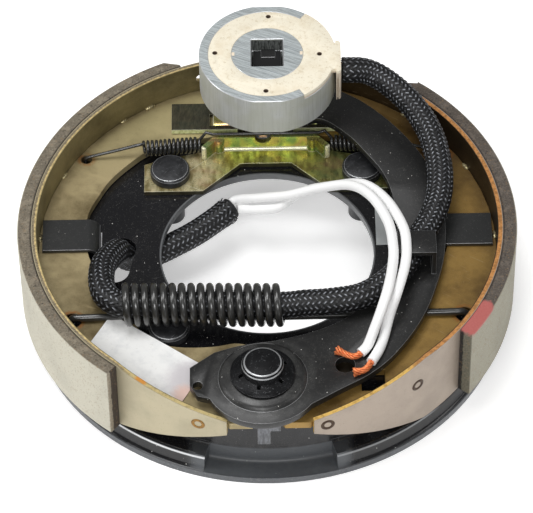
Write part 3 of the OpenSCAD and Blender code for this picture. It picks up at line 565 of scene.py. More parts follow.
@dataclass(frozen=True)
class YellowZinc(Finish):
    """Yellow zinc plate whose film shifts from gold through green to pink."""

    shade: float = 1.0
    part: ZincPart = ZincPart.PLAIN
    film: tuple[tuple[float, Colour], ...] = (
        (0.34, tone(150, 138, 72)), (0.44, tone(188, 186, 108)), (0.50, tone(150, 180, 118)),
        (0.56, tone(200, 194, 120)), (0.63, tone(206, 164, 128)), (0.72, tone(168, 158, 84)))
    lit: tuple[tuple[float, Colour], ...] = (
        (0.3, tone(216, 214, 122)), (0.42, tone(138, 184, 114)), (0.5, tone(206, 210, 108)),
        (0.62, tone(216, 178, 122)), (0.7, tone(196, 194, 96)))
    metal: float = 0.8

    def paint(self, g: Graph) -> bpy.types.Material:
        """Paint the film's drifting colours, cloudiness and fine grain.

        Args:
            g: The material's graph.

        Returns:
            The material.
        """
        drift = g.noise(0.09, 3.0, 0.5, g.turned((0.6, 1.3, 1.0), 14.0))
        cloud = g.noise(0.5, 4.0, 0.6)
        stops = [(at, scaled(colour, self.shade)) for at, colour in self.film]
        film = g.ramp(drift + (cloud - 0.5) * 0.12, *stops)
        stain = g.noise(0.16, 5.0, 0.7).between(0.46, 0.7)
        colour = g.mix(stain * 0.6, film, tone(70, 64, 30))
        colour = g.mix(g.dust(1.9, 0.22) * 0.5, colour, tone(44, 40, 24))
        metal: Operand = self.metal
        rough = 0.2 + cloud * 0.14 + stain * 0.14
        if self.part is ZincPart.BRACKET:
            colour, metal, rough = self._bracket(g, colour, rough)
        elif self.part is ZincPart.HOUSING:
            colour, metal, rough = self._guides(g, colour, rough)
        drawn = g.scratches(84.0, 2.4, 0.12, (0.5, 0.72))
        wave = g.bump(g.noise(0.14, 2.0), 0.5, 0.5)
        return g.surface(Base_Color=colour, Metallic=metal, Roughness=rough,
                         Normal=g.bump(drawn, 0.02, 0.35, g.bump(g.noise(1.4, 3.0), 0.04, 0.35, wave)))

    def _bracket(self, g: Graph, colour: Value, rough: Value) -> tuple[Value, Value, Value]:
        """Give the bracket its olive foot in painted light and shade, its side faces in painted shade and its wall in
        lit tones.

        Args:
            g: The material's graph.
            colour: Colour so far.
            rough: Roughness so far.

        Returns:
            Colour, metallic share and roughness.
        """
        x, y, z = g.axis(0), g.axis(1), g.axis(2)
        foot = z.between(FOOT_TOP + 0.3, FOOT_TOP + 0.1) * y.between(WALL_Y - 0.1, WALL_Y - 0.7)
        # Painted light and shade on the foot: the shadow noise mixes shaded and lit tones, tan on the left and darker
        # towards the right.
        shadow = g.noise(0.22, 3.0, 0.6, g.turned((1.4, 0.5, 1.0))).between(0.36, 0.64)
        left, right = x.between(-10.0, -22.0), x.between(12.0, 22.0)
        dark = g.mix(right, g.mix(left, tone(104, 98, 30), tone(128, 106, 72)), tone(52, 50, 24))
        light = g.mix(right, g.mix(left, tone(206, 206, 104), tone(214, 198, 160)), tone(136, 134, 80))
        colour = g.mix(foot * 0.8, colour, g.mix(shadow, dark, light))
        wall = y.within(WALL_Y - 0.2, WALL_Y + 0.25) * z.between(FOOT_TOP, FOOT_TOP + 0.3)
        band = g.noise(0.13, 2.0, 0.4, g.turned((1.0, 0.0, 0.6)))
        colour = g.mix(wall * 0.75, colour, g.ramp(band, *self.lit))
        # The foot's near-black side faces: painted shade.
        side = z.between(FOOT_TOP - 0.28, FOOT_TOP - 0.4) * y.between(WALL_Y - 0.7, WALL_Y - 1.7)
        colour = g.mix(side * 0.94, colour, tone(30, 28, 14))
        return colour, self.metal - foot * 0.3 - wall * 0.25 - side * 0.6, rough + side * 0.3

    def _guides(self, g: Graph, colour: Value, rough: Value) -> tuple[Value, Value, Value]:
        """Give the guide plates their brown tops and pale front edges.

        Args:
            g: The material's graph.
            colour: Colour so far.
            rough: Roughness so far.

        Returns:
            Colour, metallic share and roughness.
        """
        guide = abs(g.axis(0)).between(8.9, 9.1) * g.axis(2).between(6.2, 6.3)
        front = guide * g.axis(1).between(55.65, 55.4) * g.axis(2).between(8.3, 8.2)
        fibre = g.noise(0.6, 4.0, 0.7, g.turned((1.6, 0.4, 1.0), 8.0))
        top = g.mix(fibre.between(0.35, 0.68), tone(30, 28, 20), tone(62, 58, 44))
        # Pale front edges of the guides: painted highlight.
        edge = g.mix(fibre.between(0.4, 0.7), tone(244, 250, 198), tone(206, 214, 140))
        colour = g.mix(front, g.mix(guide * 0.94, colour, top), edge)
        return colour, self.metal - guide * 0.55 - front * 0.15, rough + guide * 0.24


class ShoeSide(Enum):
    """The two shoes; the left one has the long lining."""

    LEFT = -1
    RIGHT = 1


@dataclass(frozen=True)
class OliveZinc(Finish):
    """Dull yellow zinc plate on a shoe's web or table, with rust about the hook holes."""

    side: ShoeSide = ShoeSide.LEFT
    low: Colour = tone(74, 60, 30)
    high: Colour = tone(150, 132, 94)
    outside: bool = False
    face: Colour = tone(190, 180, 152)
    lip: Colour = tone(198, 176, 116)
    slope: Colour = tone(206, 186, 130)
    arm_bore: tuple[float, float] = (26.0, -56.4)
    amber_dab: tuple[float, float] = (-44.0, -69.6)

    def paint(self, g: Graph) -> bpy.types.Material:
        """Paint clouding, specks, drawn lines, holes' rust and a table's paler outside.

        Args:
            g: The material's graph.

        Returns:
            The material.
        """
        broad = g.noise(0.045, 4.0, 0.6)
        mottle = g.noise(0.5, 5.0, 0.7)
        grain = g.noise(2.4, 3.0, 0.6)
        colour = g.ramp(broad * 0.8 + mottle * 0.12 + grain * 0.08, (0.36, self.low), (0.6, self.high))
        specks = g.dust(1.5, 0.2, (0.42, 0.6))
        if self.outside:
            colour = self._table(g, colour, broad, grain)
        else:
            colour = self._web(g, colour)
        colour = g.mix(specks * 0.45, colour, tone(46, 38, 22))
        glints = g.dust(2.2, 0.16, (0.5, 0.62))
        colour = g.mix(glints * 0.4, colour, tone(214, 206, 176))
        scuffs = g.scratches(-34.0, 1.8, 0.1, (0.64, 0.72)) * broad.between(0.4, 0.6)
        colour = g.mix(scuffs * 0.22, colour, tone(196, 184, 150))
        metal: Operand = 0.4 - self._cut(g) * 0.3 if self.outside else 0.4
        return g.surface(Base_Color=colour, Metallic=metal, Roughness=0.44 + mottle * 0.16,
                         Normal=g.bump(g.noise(2.2, 4.0), 0.04, 0.4, g.bump(mottle, 0.05, 0.2)))

    @staticmethod
    def _cut(g: Graph) -> Value:
        """Mask of a table's cut edge, which lies between its two faces."""
        return g.radius().within(TABLE_IN + 0.32, TABLE_R - 0.32, 0.14)

    def _table(self, g: Graph, colour: Value, broad: Value, grain: Value) -> Value:
        """Paint a table: a smooth pale outside and a cut edge that changes on the slope.

        Args:
            g: The material's graph.
            colour: Colour so far.
            broad: Broad clouding.
            grain: Fine grain.

        Returns:
            The colour.
        """
        pale = g.radius().between(TABLE_R - 0.5, TABLE_R - 0.2)
        clean = g.mix(broad.between(0.4, 0.65) * 0.6 + grain * 0.25, self.face, scaled(self.face, 0.74))
        colour = g.mix(pale, colour, clean)
        turn = g.noise(0.7, 4.0, 0.7)
        sloped = g.axis(2).between(SHOE_TOP - 0.5, SHOE_TOP - 2.0)
        level = g.mix(turn.between(0.4, 0.6) * 0.75, self.lip, scaled(self.lip, 0.42))
        steep = g.mix(turn.between(0.46, 0.66) * 0.55, self.slope, scaled(self.lip, 0.34))
        if self.side is ShoeSide.LEFT:
            glued = g.mix(grain.between(0.4, 0.62), tone(84, 76, 64), tone(150, 138, 114))
            level = g.mix((g.radius() + turn * 0.5).between(TABLE_IN + 0.95, TABLE_IN + 1.2) * 0.9, level, glued)
        colour = g.mix(self._cut(g), colour, g.mix(sloped, level, steep))
        if self.side is ShoeSide.LEFT:
            dab = (g.radius(*self.amber_dab) + grain * 1.6).between(3.4, 2.2) * g.axis(2).between(9.0, 12.0)
            dab = dab * g.radius().between(TABLE_R - 0.15, TABLE_R - 0.45)
            colour = g.mix(dab * 0.9, colour, tone(214, 140, 48))
        return colour

    def _web(self, g: Graph, colour: Value) -> Value:
        """Paint a web: rust about the hook holes, drawn streaks, painted shade near the table's wall and the shade
        under the arm's hole.

        Args:
            g: The material's graph.
            colour: Colour so far.

        Returns:
            The colour.
        """
        for reach, y, size in HOOK_HOLES:
            x = self.side.value * reach
            ring = g.spot(x, y, size + 0.6, 1.5) * g.noise(0.9, 3.0).between(0.26, 0.54)
            colour = g.layers(colour, (ring * 0.85, tone(150, 96, 38)),
                              (g.spot(x, y, size - 0.1, 0.7) * 0.9, tone(44, 26, 16)))
        streak = g.noise(0.12, 3.0, 0.6, g.turned((0.35, 1.6, 1.0), 24.0)).between(0.56, 0.7)
        colour = g.mix(streak * 0.35, colour, scaled(self.high, 1.3))
        # Painted shade on the web near the table's wall.
        near = g.radius().between(TABLE_IN - 9.0, TABLE_IN - 1.0) * g.axis(1).between(-60.0, 40.0)
        if self.side is ShoeSide.LEFT:
            pale = g.axis(1).between(30.0, 62.0) * g.radius().between(TABLE_IN - 0.5, TABLE_IN - 3.0)
            colour = g.mix(pale * 0.6, colour, tone(196, 184, 136))
            return g.mix(near * 0.25, colour, scaled(self.low, 0.45))
        colour = g.mix(near * 0.5, colour, scaled(self.low, 0.4))
        return g.mix(g.spot(*self.arm_bore, 5.2, 0.8) * 0.92, colour, tone(24, 25, 28))


@dataclass(frozen=True)
class Lining(Finish):
    """Bonded friction material: a moulded, speckled block whose outside is paler than its top."""

    top: Colour = tone(112, 104, 90)
    outer: Colour = tone(194, 190, 174)
    end: Colour = tone(58, 48, 40)
    joint: Colour = tone(66, 56, 46)
    ends: tuple[float, float] = (111.5, 231.3)
    dabbed: bool = False
    dab_at: tuple[float, float] = (71.4, -45.8)

    def paint(self, g: Graph) -> bpy.types.Material:
        """Paint the moulding's grit, its dark sawn ends and, on one shoe, a dab of red paint.

        Args:
            g: The material's graph.

        Returns:
            The material.
        """
        grit = g.noise(1.5, 5.0, 0.75)
        chips = g.cells(0.95).between(0.42, 0.16) * g.noise(0.4, 3.0).between(0.44, 0.58)
        outside = g.radius().between(LINING_R - 0.5, LINING_R - 0.12)
        broad = g.noise(0.05, 3.0, 0.5)
        # Paler colour for the outside faces.
        rubbed = g.mix(broad.between(0.42, 0.66) * 0.5, self.outer, scaled(self.outer, 0.8))
        colour = g.mix(broad.between(0.46, 0.68) * 0.4, self.top, tone(78, 68, 60))
        pitted = g.noise(0.75, 4.0, 0.8)
        patch = g.noise(0.22, 5.0, 0.75).between(0.48, 0.62)
        colour = g.layers(colour, (patch * 0.55, scaled(self.top, 2.0)),
                          (grit.between(0.5, 0.64) * 0.7, scaled(self.top, 1.9)),
                          (pitted.between(0.45, 0.34).over(grit.between(0.42, 0.3)) * 0.85, tone(44, 38, 35)))
        fine = g.noise(2.6, 4.0, 0.7)
        rubbed = g.layers(rubbed, (fine.between(0.55, 0.7) * 0.35, tone(232, 228, 216)),
                          (fine.between(0.42, 0.3) * 0.35, tone(128, 116, 96)),
                          (g.dust(0.8, 0.16, (0.46, 0.56)) * 0.7, tone(104, 82, 56)))
        colour = g.mix(outside, colour, rubbed)
        ragged = g.radius() + (g.noise(0.8, 3.0, 0.7) - 0.5) * 1.6
        if self.dabbed:
            face = g.mix(ragged.between(TABLE_R + 1.8, TABLE_R + 1.4), self.end, self.joint)
        else:
            face = g.mix(ragged.between(LINING_R - 1.6, LINING_R - 1.2), self.joint, self.end)
        face = g.mix(grit.between(0.4, 0.6) * 0.4, face, scaled(self.joint, 0.5))
        colour = g.mix(self._ends(g), colour, face)
        inner = g.radius().between(TABLE_R + 0.9, TABLE_R + 0.3)
        colour = g.layers(colour, (inner * 0.7, tone(40, 34, 30)), (chips * 0.4, tone(140, 112, 78)),
                          (g.dust(1.2, 0.2, (0.5, 0.6)) * 0.6, tone(30, 26, 24)))
        rough = 0.82 + grit * 0.12
        if self.dabbed:
            wander = g.noise(0.3, 3.0, 0.6) * 5.0
            dab = (g.radius(*self.dab_at) + wander).between(11.2, 9.6)
            dab = dab.under(g.axis(2).between(SHOE_TOP - 1.4, SHOE_TOP - 0.5))
            colour = g.mix(dab * 0.92, colour, g.mix(grit, tone(166, 72, 68), tone(200, 116, 110)))
            rough = rough - dab * 0.3
        relief = g.mix(outside, grit, grit * 0.35 + 0.3)
        normal = g.bump(g.noise(0.5, 3.0), 0.2, 0.3, g.bump(relief, 0.2, 0.9))
        return g.surface(Base_Color=colour, Roughness=rough, Normal=normal)

    def _ends(self, g: Graph) -> Value:
        """Mask of the two sawn ends, which lie in upright planes through the middle.

        Args:
            g: The material's graph.

        Returns:
            The mask.
        """
        masks = []
        for degrees in self.ends:
            turn = math.radians(degrees)
            off = g.axis(1) * math.cos(turn) - g.axis(0) * math.sin(turn)
            masks.append(abs(off).between(0.42, 0.3))
        return masks[0].over(masks[1]) * g.radius().between(LINING_R + 0.1, LINING_R - 0.15)


@dataclass(frozen=True)
class GroundSteel(Finish):
    """Ground steel of the magnet: slanting grinding lines on its face, upright lines on its side."""

    base: Colour = tone(194, 201, 202)
    notch_at: float = 12.6
    bore: tuple[float, float] = (6.2, 7.5)

    def paint(self, g: Graph) -> bpy.types.Material:
        """Paint grinding lines, the sides' drawn lines and the two resin notches in the pole.

        Args:
            g: The material's graph.

        Returns:
            The material.
        """
        east, north = g.axis(0) - MAGNET[0], g.axis(1) - MAGNET[1]
        face = g.axis(2).between(MAGNET_TOP - 0.25, MAGNET_TOP - 0.05)
        lines = g.noise(1.0, 4.0, 0.8, g.turned((0.1, 3.4, 1.0), 24.0))
        long = g.scratches(-26.0, 1.7, 0.06, (0.54, 0.66))
        short = g.scratches(-34.0, 2.6, 0.3, (0.58, 0.7))
        upright = g.noise(1.0, 3.0, 0.65, g.turned((1.5, 1.5, 0.05)))
        cut = g.mix(lines.between(0.38, 0.6), scaled(self.base, 0.68), scaled(self.base, 1.2))
        cut = g.layers(cut, (long * 0.45, tone(128, 138, 144)), (short * 0.5, tone(212, 220, 224)))
        wall = g.mix(upright.between(0.3, 0.7), tone(187, 189, 185), tone(203, 205, 202))
        warm = g.noise(0.06, 3.0).between(0.4, 0.62)
        wall = g.layers(wall, (warm * 0.45, tone(176, 178, 154)),
                        (g.dust(1.3, 0.18, (0.5, 0.62)) * 0.5, tone(110, 104, 92)))
        colour = g.mix(face, wall, cut)
        notch = abs(abs(east) - self.notch_at).between(1.0, 0.7).under(abs(north).between(1.0, 0.7)) * face
        colour = g.mix(notch, colour, tone(238, 222, 198))
        # Inside the bore: painted shade at the front and a painted grey reflection on the back wall.
        wide, deep = self.bore
        inside = abs(east).between(wide + 0.3, wide).under(abs(north).between(deep + 0.4, deep))
        inside = inside * g.axis(2).between(MAGNET_TOP - 0.3, MAGNET_TOP - 1.0)
        back_wall_noise = g.noise(0.9, 4.0, 0.7, g.turned((1.6, 1.6, 0.3)))
        back_wall_reflection = g.mix(back_wall_noise.between(0.35, 0.65), tone(44, 46, 44), tone(120, 124, 122))
        colour = g.mix(inside, colour, g.mix(north.between(4.0, 5.0), tone(20, 20, 18), back_wall_reflection))
        normal = g.bump(g.mix(face, upright * 0.5, lines), 0.03, 0.4, g.bump(long, 0.02, 0.5))
        return g.surface(Base_Color=colour, Metallic=0.3 + face * 0.16 - notch * 0.46 - inside * 0.28,
                         Roughness=0.4 + lines * 0.14 + notch * 0.2 + inside * 0.2, Normal=normal)


@dataclass(frozen=True)
class CastResin(Finish):
    """Cream potting resin, ground flush, mottled, with brown vent holes."""

    base: Colour = tone(243, 235, 214)
    vents: int = 4
    first_vent: float = 88.0
    vent_circle: float = 18.8
    vent_size: float = 0.78

    def paint(self, g: Graph) -> bpy.types.Material:
        """Paint the resin's mottling, its vent holes and the smears left by grinding.

        Args:
            g: The material's graph.

        Returns:
            The material.
        """
        x, y = MAGNET
        broad = g.noise(0.16, 4.0, 0.65)
        fine = g.noise(1.3, 5.0, 0.75)
        colour = g.mix(broad.between(0.42, 0.7) * 0.6, self.base, tone(226, 212, 184))
        speck = g.noise(0.62, 5.0, 0.85)
        colour = g.layers(colour, (speck.between(0.53, 0.66) * 0.7, tone(206, 190, 158)),
                          (fine.between(0.44, 0.3) * 0.6, tone(255, 248, 232)))
        smears = g.scratches(-28.0, 2.4, 0.12, (0.62, 0.7))
        colour = g.mix(smears * 0.25, colour, tone(186, 176, 158))
        for k in range(self.vents):
            turn = math.radians(360 * k / self.vents + self.first_vent)
            hole = g.spot(x + self.vent_circle * math.cos(turn), y + self.vent_circle * math.sin(turn),
                          self.vent_size, 0.3)
            colour = g.mix(hole * 0.95, colour, tone(62, 38, 22))
        edge = g.radius(x, y).between(21.5, 21.9) * g.axis(2).between(MAGNET_TOP - 0.8, MAGNET_TOP - 1.8)
        colour = g.mix(edge * 0.45, colour, tone(176, 150, 132))
        return g.surface(Base_Color=colour, Roughness=0.55 + fine * 0.2,
                         Normal=g.bump(fine, 0.06, 0.7, g.bump(broad, 0.12, 0.3)))


@dataclass(frozen=True)
class BraidedYarn(Finish):
    """Black sleeve yarn: each flat strand is a few parallel glossy filaments."""

    filaments: float = 3.0

    def paint(self, g: Graph) -> bpy.types.Material:
        """Paint dark filaments with a painted grey glint where a strand comes to the top.

        Args:
            g: The material's graph.

        Returns:
            The material.
        """
        across, height, _ = g.parts(g.uv())
        ridge = (across * (2 * math.pi * self.filaments)).sine() * 0.5 + 0.5
        middle = across.within(0.38, 0.62, 0.14)
        wear = g.noise(0.4, 3.0, 0.65)
        # Painted glint on each strand's crest; the noise named wear only makes it uneven and varies the roughness.
        crest = height.between(0.76, 0.98) * middle * wear.between(0.34, 0.58)
        colour = g.mix(ridge * 0.3, (0.003, 0.003, 0.0035), tone(24, 25, 27))
        colour = g.mix(crest * (0.5 + ridge * 0.5), colour, tone(180, 184, 192))
        return g.surface(Base_Color=colour, Roughness=0.42 + wear * 0.16, Normal=g.bump(ridge, 0.08, 0.5))


@dataclass(frozen=True)
class DarkCore(Finish):
    """The shadowed inside of the sleeve, seen between its strands."""

    def paint(self, g: Graph) -> bpy.types.Material:
        """Paint a dull black with a little lint.

        Args:
            g: The material's graph.

        Returns:
            The material.
        """
        lint = g.dust(2.6, 0.2)
        colour = g.mix(lint * 0.3, (0.006, 0.006, 0.007), tone(96, 96, 100))
        return g.surface(Base_Color=colour, Roughness=0.7, Normal=g.bump(g.noise(2.4, 3.0), 0.1, 0.6))


@dataclass(frozen=True)
class Insulation(Finish):
    """White wire insulation, slightly soiled."""

    def paint(self, g: Graph) -> bpy.types.Material:
        """Paint soft plastic with faint handling marks.

        Args:
            g: The material's graph.

        Returns:
            The material.
        """
        soil = g.noise(0.3, 4.0, 0.65)
        marks = g.dust(1.0, 0.12, (0.56, 0.66))
        colour = g.mix(soil.between(0.54, 0.78) * 0.15, (0.99, 0.99, 0.985), tone(226, 224, 222))
        colour = g.mix(marks * 0.35, colour, tone(150, 140, 134))
        return g.surface(Base_Color=colour, Roughness=0.36 + soil * 0.15, Normal=g.bump(g.noise(0.8, 3.0), 0.04, 0.25))


@dataclass(frozen=True)
class BareCopper(Finish):
    """Bare copper strands or windings."""

    base: Colour = tone(246, 144, 88)

    def paint(self, g: Graph) -> bpy.types.Material:
        """Paint copper that is dulled in patches.

        Args:
            g: The material's graph.

        Returns:
            The material.
        """
        dull = g.noise(0.9, 4.0, 0.6)
        colour = g.mix(dull.between(0.45, 0.72), self.base, tone(196, 100, 62))
        colour = g.mix(g.dust(2.0, 0.24) * 0.5, colour, tone(252, 206, 170))
        return g.surface(Base_Color=colour, Metallic=0.45, Roughness=0.34 + dull * 0.2,
                         Normal=g.bump(g.noise(3.0, 2.0), 0.03, 0.5))


@dataclass(frozen=True)
class SpringEnamel(Finish):
    """Black enamel on spring wire, rubbed thin where coils lean on each other."""

    rough: float = 0.3
    coat: float = 0.0

    def paint(self, g: Graph) -> bpy.types.Material:
        """Paint enamel with rubs and dust.

        Args:
            g: The material's graph.

        Returns:
            The material.
        """
        film = g.noise(0.5, 3.0, 0.6)
        rub = g.dust(1.1, 0.18, (0.54, 0.66))
        colour = g.mix(film * 0.5, (0.020, 0.020, 0.019), (0.052, 0.052, 0.049))
        colour = g.mix(rub * 0.3, colour, tone(128, 126, 116))
        return g.surface(Base_Color=colour, Metallic=0.2, Roughness=self.rough + film * 0.1 + rub * 0.2,
                         Coat_Weight=self.coat, Coat_Roughness=0.24, Normal=g.bump(g.noise(1.6, 2.0), 0.04, 0.3))


@dataclass(frozen=True)
class BlankLabel(Finish):
    """Blank label stock: white paper or silver foil, creased, with a rub of dirt."""

    base: Colour = tone(236, 236, 234)
    foil: bool = False
    shaded_end_at: tuple[float, float] = (-27.0, -62.0)
    pink_at: tuple[float, float] = (-29.0, -68.5)

    def paint(self, g: Graph) -> bpy.types.Material:
        """Paint creases, soiling, a painted grey shade at the end by the arm and a pink stain at that corner.

        Args:
            g: The material's graph.

        Returns:
            The material.
        """
        crease = g.noise(0.22, 4.0, 0.6)
        soil = g.noise(0.6, 4.0, 0.7)
        colour = g.mix(crease.between(0.45, 0.7) * 0.3, self.base, tone(196, 198, 200))
        colour = g.mix(soil.between(0.6, 0.76) * 0.35, colour, tone(168, 164, 156))
        if not self.foil:
            # Grey at the end by the arm: painted shade.
            worn = (g.radius(*self.shaded_end_at) + soil * 5.0).between(14.5, 7.5)
            colour = g.mix(worn * 0.75, colour, tone(196, 190, 194))
            pink = (g.radius(*self.pink_at) + soil * 3.0).between(8.0, 3.5)
            colour = g.mix(pink * 0.75, colour, tone(226, 186, 168))
        normal = g.bump(crease, 0.35, 0.5, g.bump(g.noise(2.2, 3.0), 0.03, 0.4))
        return g.surface(Base_Color=colour, Metallic=0.6 if self.foil else 0.0,
                         Roughness=(0.3 if self.foil else 0.5) + soil * 0.12, Normal=normal)


@dataclass(frozen=True)
class WeldBead(Finish):
    """Small resistance-weld nuggets and heat rings."""

    base: Colour = tone(198, 200, 202)

    def paint(self, g: Graph) -> bpy.types.Material:
        """Paint blued, oxidised weld metal.

        Args:
            g: The material's graph.

        Returns:
            The material.
        """
        heat = g.noise(1.1, 4.0, 0.7)
        colour = g.mix(heat.between(0.45, 0.65), self.base, tone(84, 70, 56))
        return g.surface(Base_Color=colour, Metallic=0.8, Roughness=0.3 + heat * 0.25,
                         Normal=g.bump(heat, 0.08, 0.6))


@dataclass(frozen=True)
class PaleFloor(Finish):
    """Matt white sheet that the brake lies on."""

    def paint(self, g: Graph) -> bpy.types.Material:
        """Paint paper with a barely visible tooth.

        Args:
            g: The material's graph.

        Returns:
            The material.
        """
        colour = g.mix(g.noise(0.6, 3.0) * 0.3, (0.95, 0.95, 0.95), (0.92, 0.92, 0.92))
        return g.surface(Base_Color=colour, Roughness=0.8, Emission_Color=(1.0, 1.0, 1.0), Emission_Strength=0.42)


# ---------------------------------------------------------------- sizes of the frame's solids, in millimetres

HUB_R = 37.9
TABLE_R = 83.3
TABLE_IN = 81.4
RIM_R = 85.2
LINING_R = 88.2
LEDGE_R = 83.1
SHOE_TOP = 18.7
WEB_TOP = 6.1
FOOT_TOP = 4.7
WALL_Y = 48.7
FLOOR_Z = -21.8
MAGNET = (1.1, 60.0)
MAGNET_TOP = 42.5
PIVOT = (-2.3, -65.4)
HOOK_HOLES = ((68.6, -33.7, 3.2), (65.2, 43.3, 1.9))


# ---------------------------------------------------------------- finishes that pieces share

GLOSS = BlackCoat("gloss_black_coat", part=CoatPart.PLATE)
SATIN = BlackCoat("satin_black_coat", base=(0.010, 0.010, 0.010), rough=0.3, dust=0.7, grain=0.08,
                  part=CoatPart.ARM)
STRIP = BlackCoat("strip_black_coat", base=(0.014, 0.0145, 0.0145), rough=0.34, dust=0.6, grain=0.08)
# Light edge finishes for the broken edges: on the black and turned parts partly bare metal and partly painted
# highlight; on the zinc, pale cream as painted highlight.
PLATE_EDGE = BrightSteel("plate_edge", base=(0.26, 0.27, 0.285), rough=0.16, metal=0.5, worn=0.3)
COAT_EDGE = BrightSteel("coat_edge_worn_and_highlight", base=(0.34, 0.345, 0.35), rough=0.22, metal=0.4, worn=0.4)
STRIP_EDGE = BrightSteel("strip_edge", base=(0.16, 0.16, 0.165), rough=0.26, metal=0.4, worn=0.3)
PIN_STEEL = DarkSteel("turned_oxide", centre=PIVOT, rings=True)
EDGE = BrightSteel("bright_edge", base=(0.5, 0.51, 0.52), rough=0.24, metal=0.6)
STUD_EDGE = BrightSteel("stud_edge", base=(0.6, 0.61, 0.62), rough=0.2, metal=0.6)
DULL_EDGE = BrightSteel("dull_edge", base=(0.24, 0.24, 0.245), rough=0.3, metal=0.6)
ZINC = YellowZinc("yellow_zinc_plate")
BRACKET_ZINC = YellowZinc("bracket_zinc", part=ZincPart.BRACKET)
ZINC_EDGE = BrightSteel("zinc_edge", base=(0.9, 0.89, 0.68), rough=0.3, metal=0.2, worn=0.08)
BEND_ZINC = BrightSteel("bend_zinc", base=(0.95, 0.93, 0.66), rough=0.2, metal=0.4, worn=0.0)
COPPER = BareCopper("bare_copper")
STEEL = GroundSteel("ground_steel")
RESIN = CastResin("cast_resin")


# ---------------------------------------------------------------- mesh helpers


def metres(point: Point) -> Vector:
    """A point in millimetres as a vector in metres."""
    return Vector(point) * MM


def only(piece: bpy.types.Object) -> None:
    """Select one object and make it active.

    Args:
        piece: The object.
    """
    bpy.ops.object.select_all(action="DESELECT")
    piece.select_set(True)
    bpy.context.view_layer.objects.active = piece


def edit(piece: bpy.types.Object, select: str = "SELECT") -> None:
    """Enter edit mode on one object.

    Args:
        piece: The object.
        select: SELECT for all of it, DESELECT for none.
    """
    only(piece)
    bpy.ops.object.mode_set(mode="EDIT")
    bpy.ops.mesh.select_all(action=select)


def leave() -> None:
    """Go back to object mode."""
    bpy.ops.object.mode_set(mode="OBJECT")


def outward(piece: bpy.types.Object) -> None:
    """Turn a closed mesh's faces outwards.

    Args:
        piece: The object.
    """
    edit(piece)
    bpy.ops.mesh.normals_make_consistent(inside=False)
    leave()


def fixed(piece: bpy.types.Object) -> bpy.types.Object:
    """Apply an object's place, turn and scale to its mesh.

    Args:
        piece: The object.

    Returns:
        The same object, now at the origin.
    """
    only(piece)
    bpy.ops.object.transform_apply(location=True, rotation=True, scale=True)
    return piece


def placed(name: str, data: bpy.types.ID) -> bpy.types.Object:
    """Put a mesh or a curve into the scene as an object at the origin.

    Args:
        name: The object's name.
        data: Its mesh or curve.

    Returns:
        The object.
    """
    piece = bpy.data.objects.new(name, data)
    bpy.context.scene.collection.objects.link(piece)
    return piece


def meshed(name: str, verts: Sequence[Vector], faces: Sequence[Sequence[int]]) -> bpy.types.Object:
    """Make a closed piece from its points and faces.

    Args:
        name: The piece's name.
        verts: Its points, in metres.
        faces: Its faces, as indices of points.

    Returns:
        The piece.
    """
    mesh = bpy.data.meshes.new(name)
    mesh.from_pydata(verts, [], faces)
    return placed(name, mesh)


def modify(piece: bpy.types.Object, kind: str, **settings: object) -> None:
    """Add one modifier and apply it.

    Args:
        piece: The object.
        kind: The modifier's type.
        settings: Its properties.
    """
    only(piece)
    modifier = piece.modifiers.new(kind.lower(), kind)
    for key, value in settings.items():
        setattr(modifier, key, value)
    bpy.ops.object.modifier_apply(modifier=modifier.name)


def smooth(piece: bpy.types.Object, degrees: float = 32.0) -> None:
    """Shade a piece smooth below an angle."""
    only(piece)
    bpy.ops.object.shade_smooth_by_angle(angle=math.radians(degrees))


def ease(piece: bpy.types.Object, width: float, angle: float, **settings: object) -> None:
    """Break the edges that are sharper than an angle.

    Args:
        piece: The piece.
        width: Width of the broken edge in millimetres.
        angle: The angle, in degrees.
        settings: More of the Bevel modifier's properties.
    """
    modify(piece, "BEVEL", width=width * MM, limit_method="ANGLE", angle_limit=math.radians(angle), **settings)


def wear(piece: bpy.types.Object, *finishes: Finish) -> None:
    """Give a piece its finishes.

    Args:
        piece: The piece.
        finishes: One finish for each material slot.
    """
    piece.data.materials.clear()
    for finish in finishes:
        piece.data.materials.append(finish.material())


def enter(piece: bpy.types.Object, nodes: Sequence[str], place: str) -> None:
    """Hide the solids that a piece stands for, and report it.

    Args:
        piece: The piece.
        nodes: CAD nodes that it replaces, if any.
        place: Where it rides, for the report.
    """
    if nodes:
        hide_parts(*nodes)
    LOG.info("%s: %d faces %s", piece.name, len(piece.data.polygons), place)


def attach(piece: bpy.types.Object, body: str, slot: str, *nodes: str) -> None:
    """Let a finished piece ride on its body.

    Args:
        piece: The piece.
        body: The body that it moves with.
        slot: Not used.
        nodes: CAD nodes that it replaces.
    """
    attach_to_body(piece, body)
    enter(piece, nodes, "on " + body)


def bridge(piece: bpy.types.Object, bodies: tuple[str, str], ends: tuple[Point, Point], slot: str,
           *nodes: str) -> None:
    """Bake a finished piece's place into its mesh and hide the solids that it stands for.

    Args:
        piece: The piece.
        bodies: The bodies at its two ends, named in the report.
        ends: Not used.
        slot: Not used.
        nodes: CAD nodes that it replaces.
    """
    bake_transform(piece)
    enter(piece, nodes, "between %s and %s" % bodies)


def from_node(node: str) -> bpy.types.Object:
    """Copy a CAD node, merge its loose triangles and clear its flat faces of spare edges.

    Args:
        node: The node's name.

    Returns:
        The copy, at the origin, without finish.
    """
    piece = placed(node + "_worked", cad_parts[node].data.copy())
    piece.data.materials.clear()
    only(piece)
    if piece.data.has_custom_normals:
        bpy.ops.mesh.customdata_custom_splitnormals_clear()
    edit(piece)
    bpy.ops.mesh.remove_doubles(threshold=0.002 * MM)
    bpy.ops.mesh.dissolve_limited(angle_limit=math.radians(0.5))
    leave()
    return piece


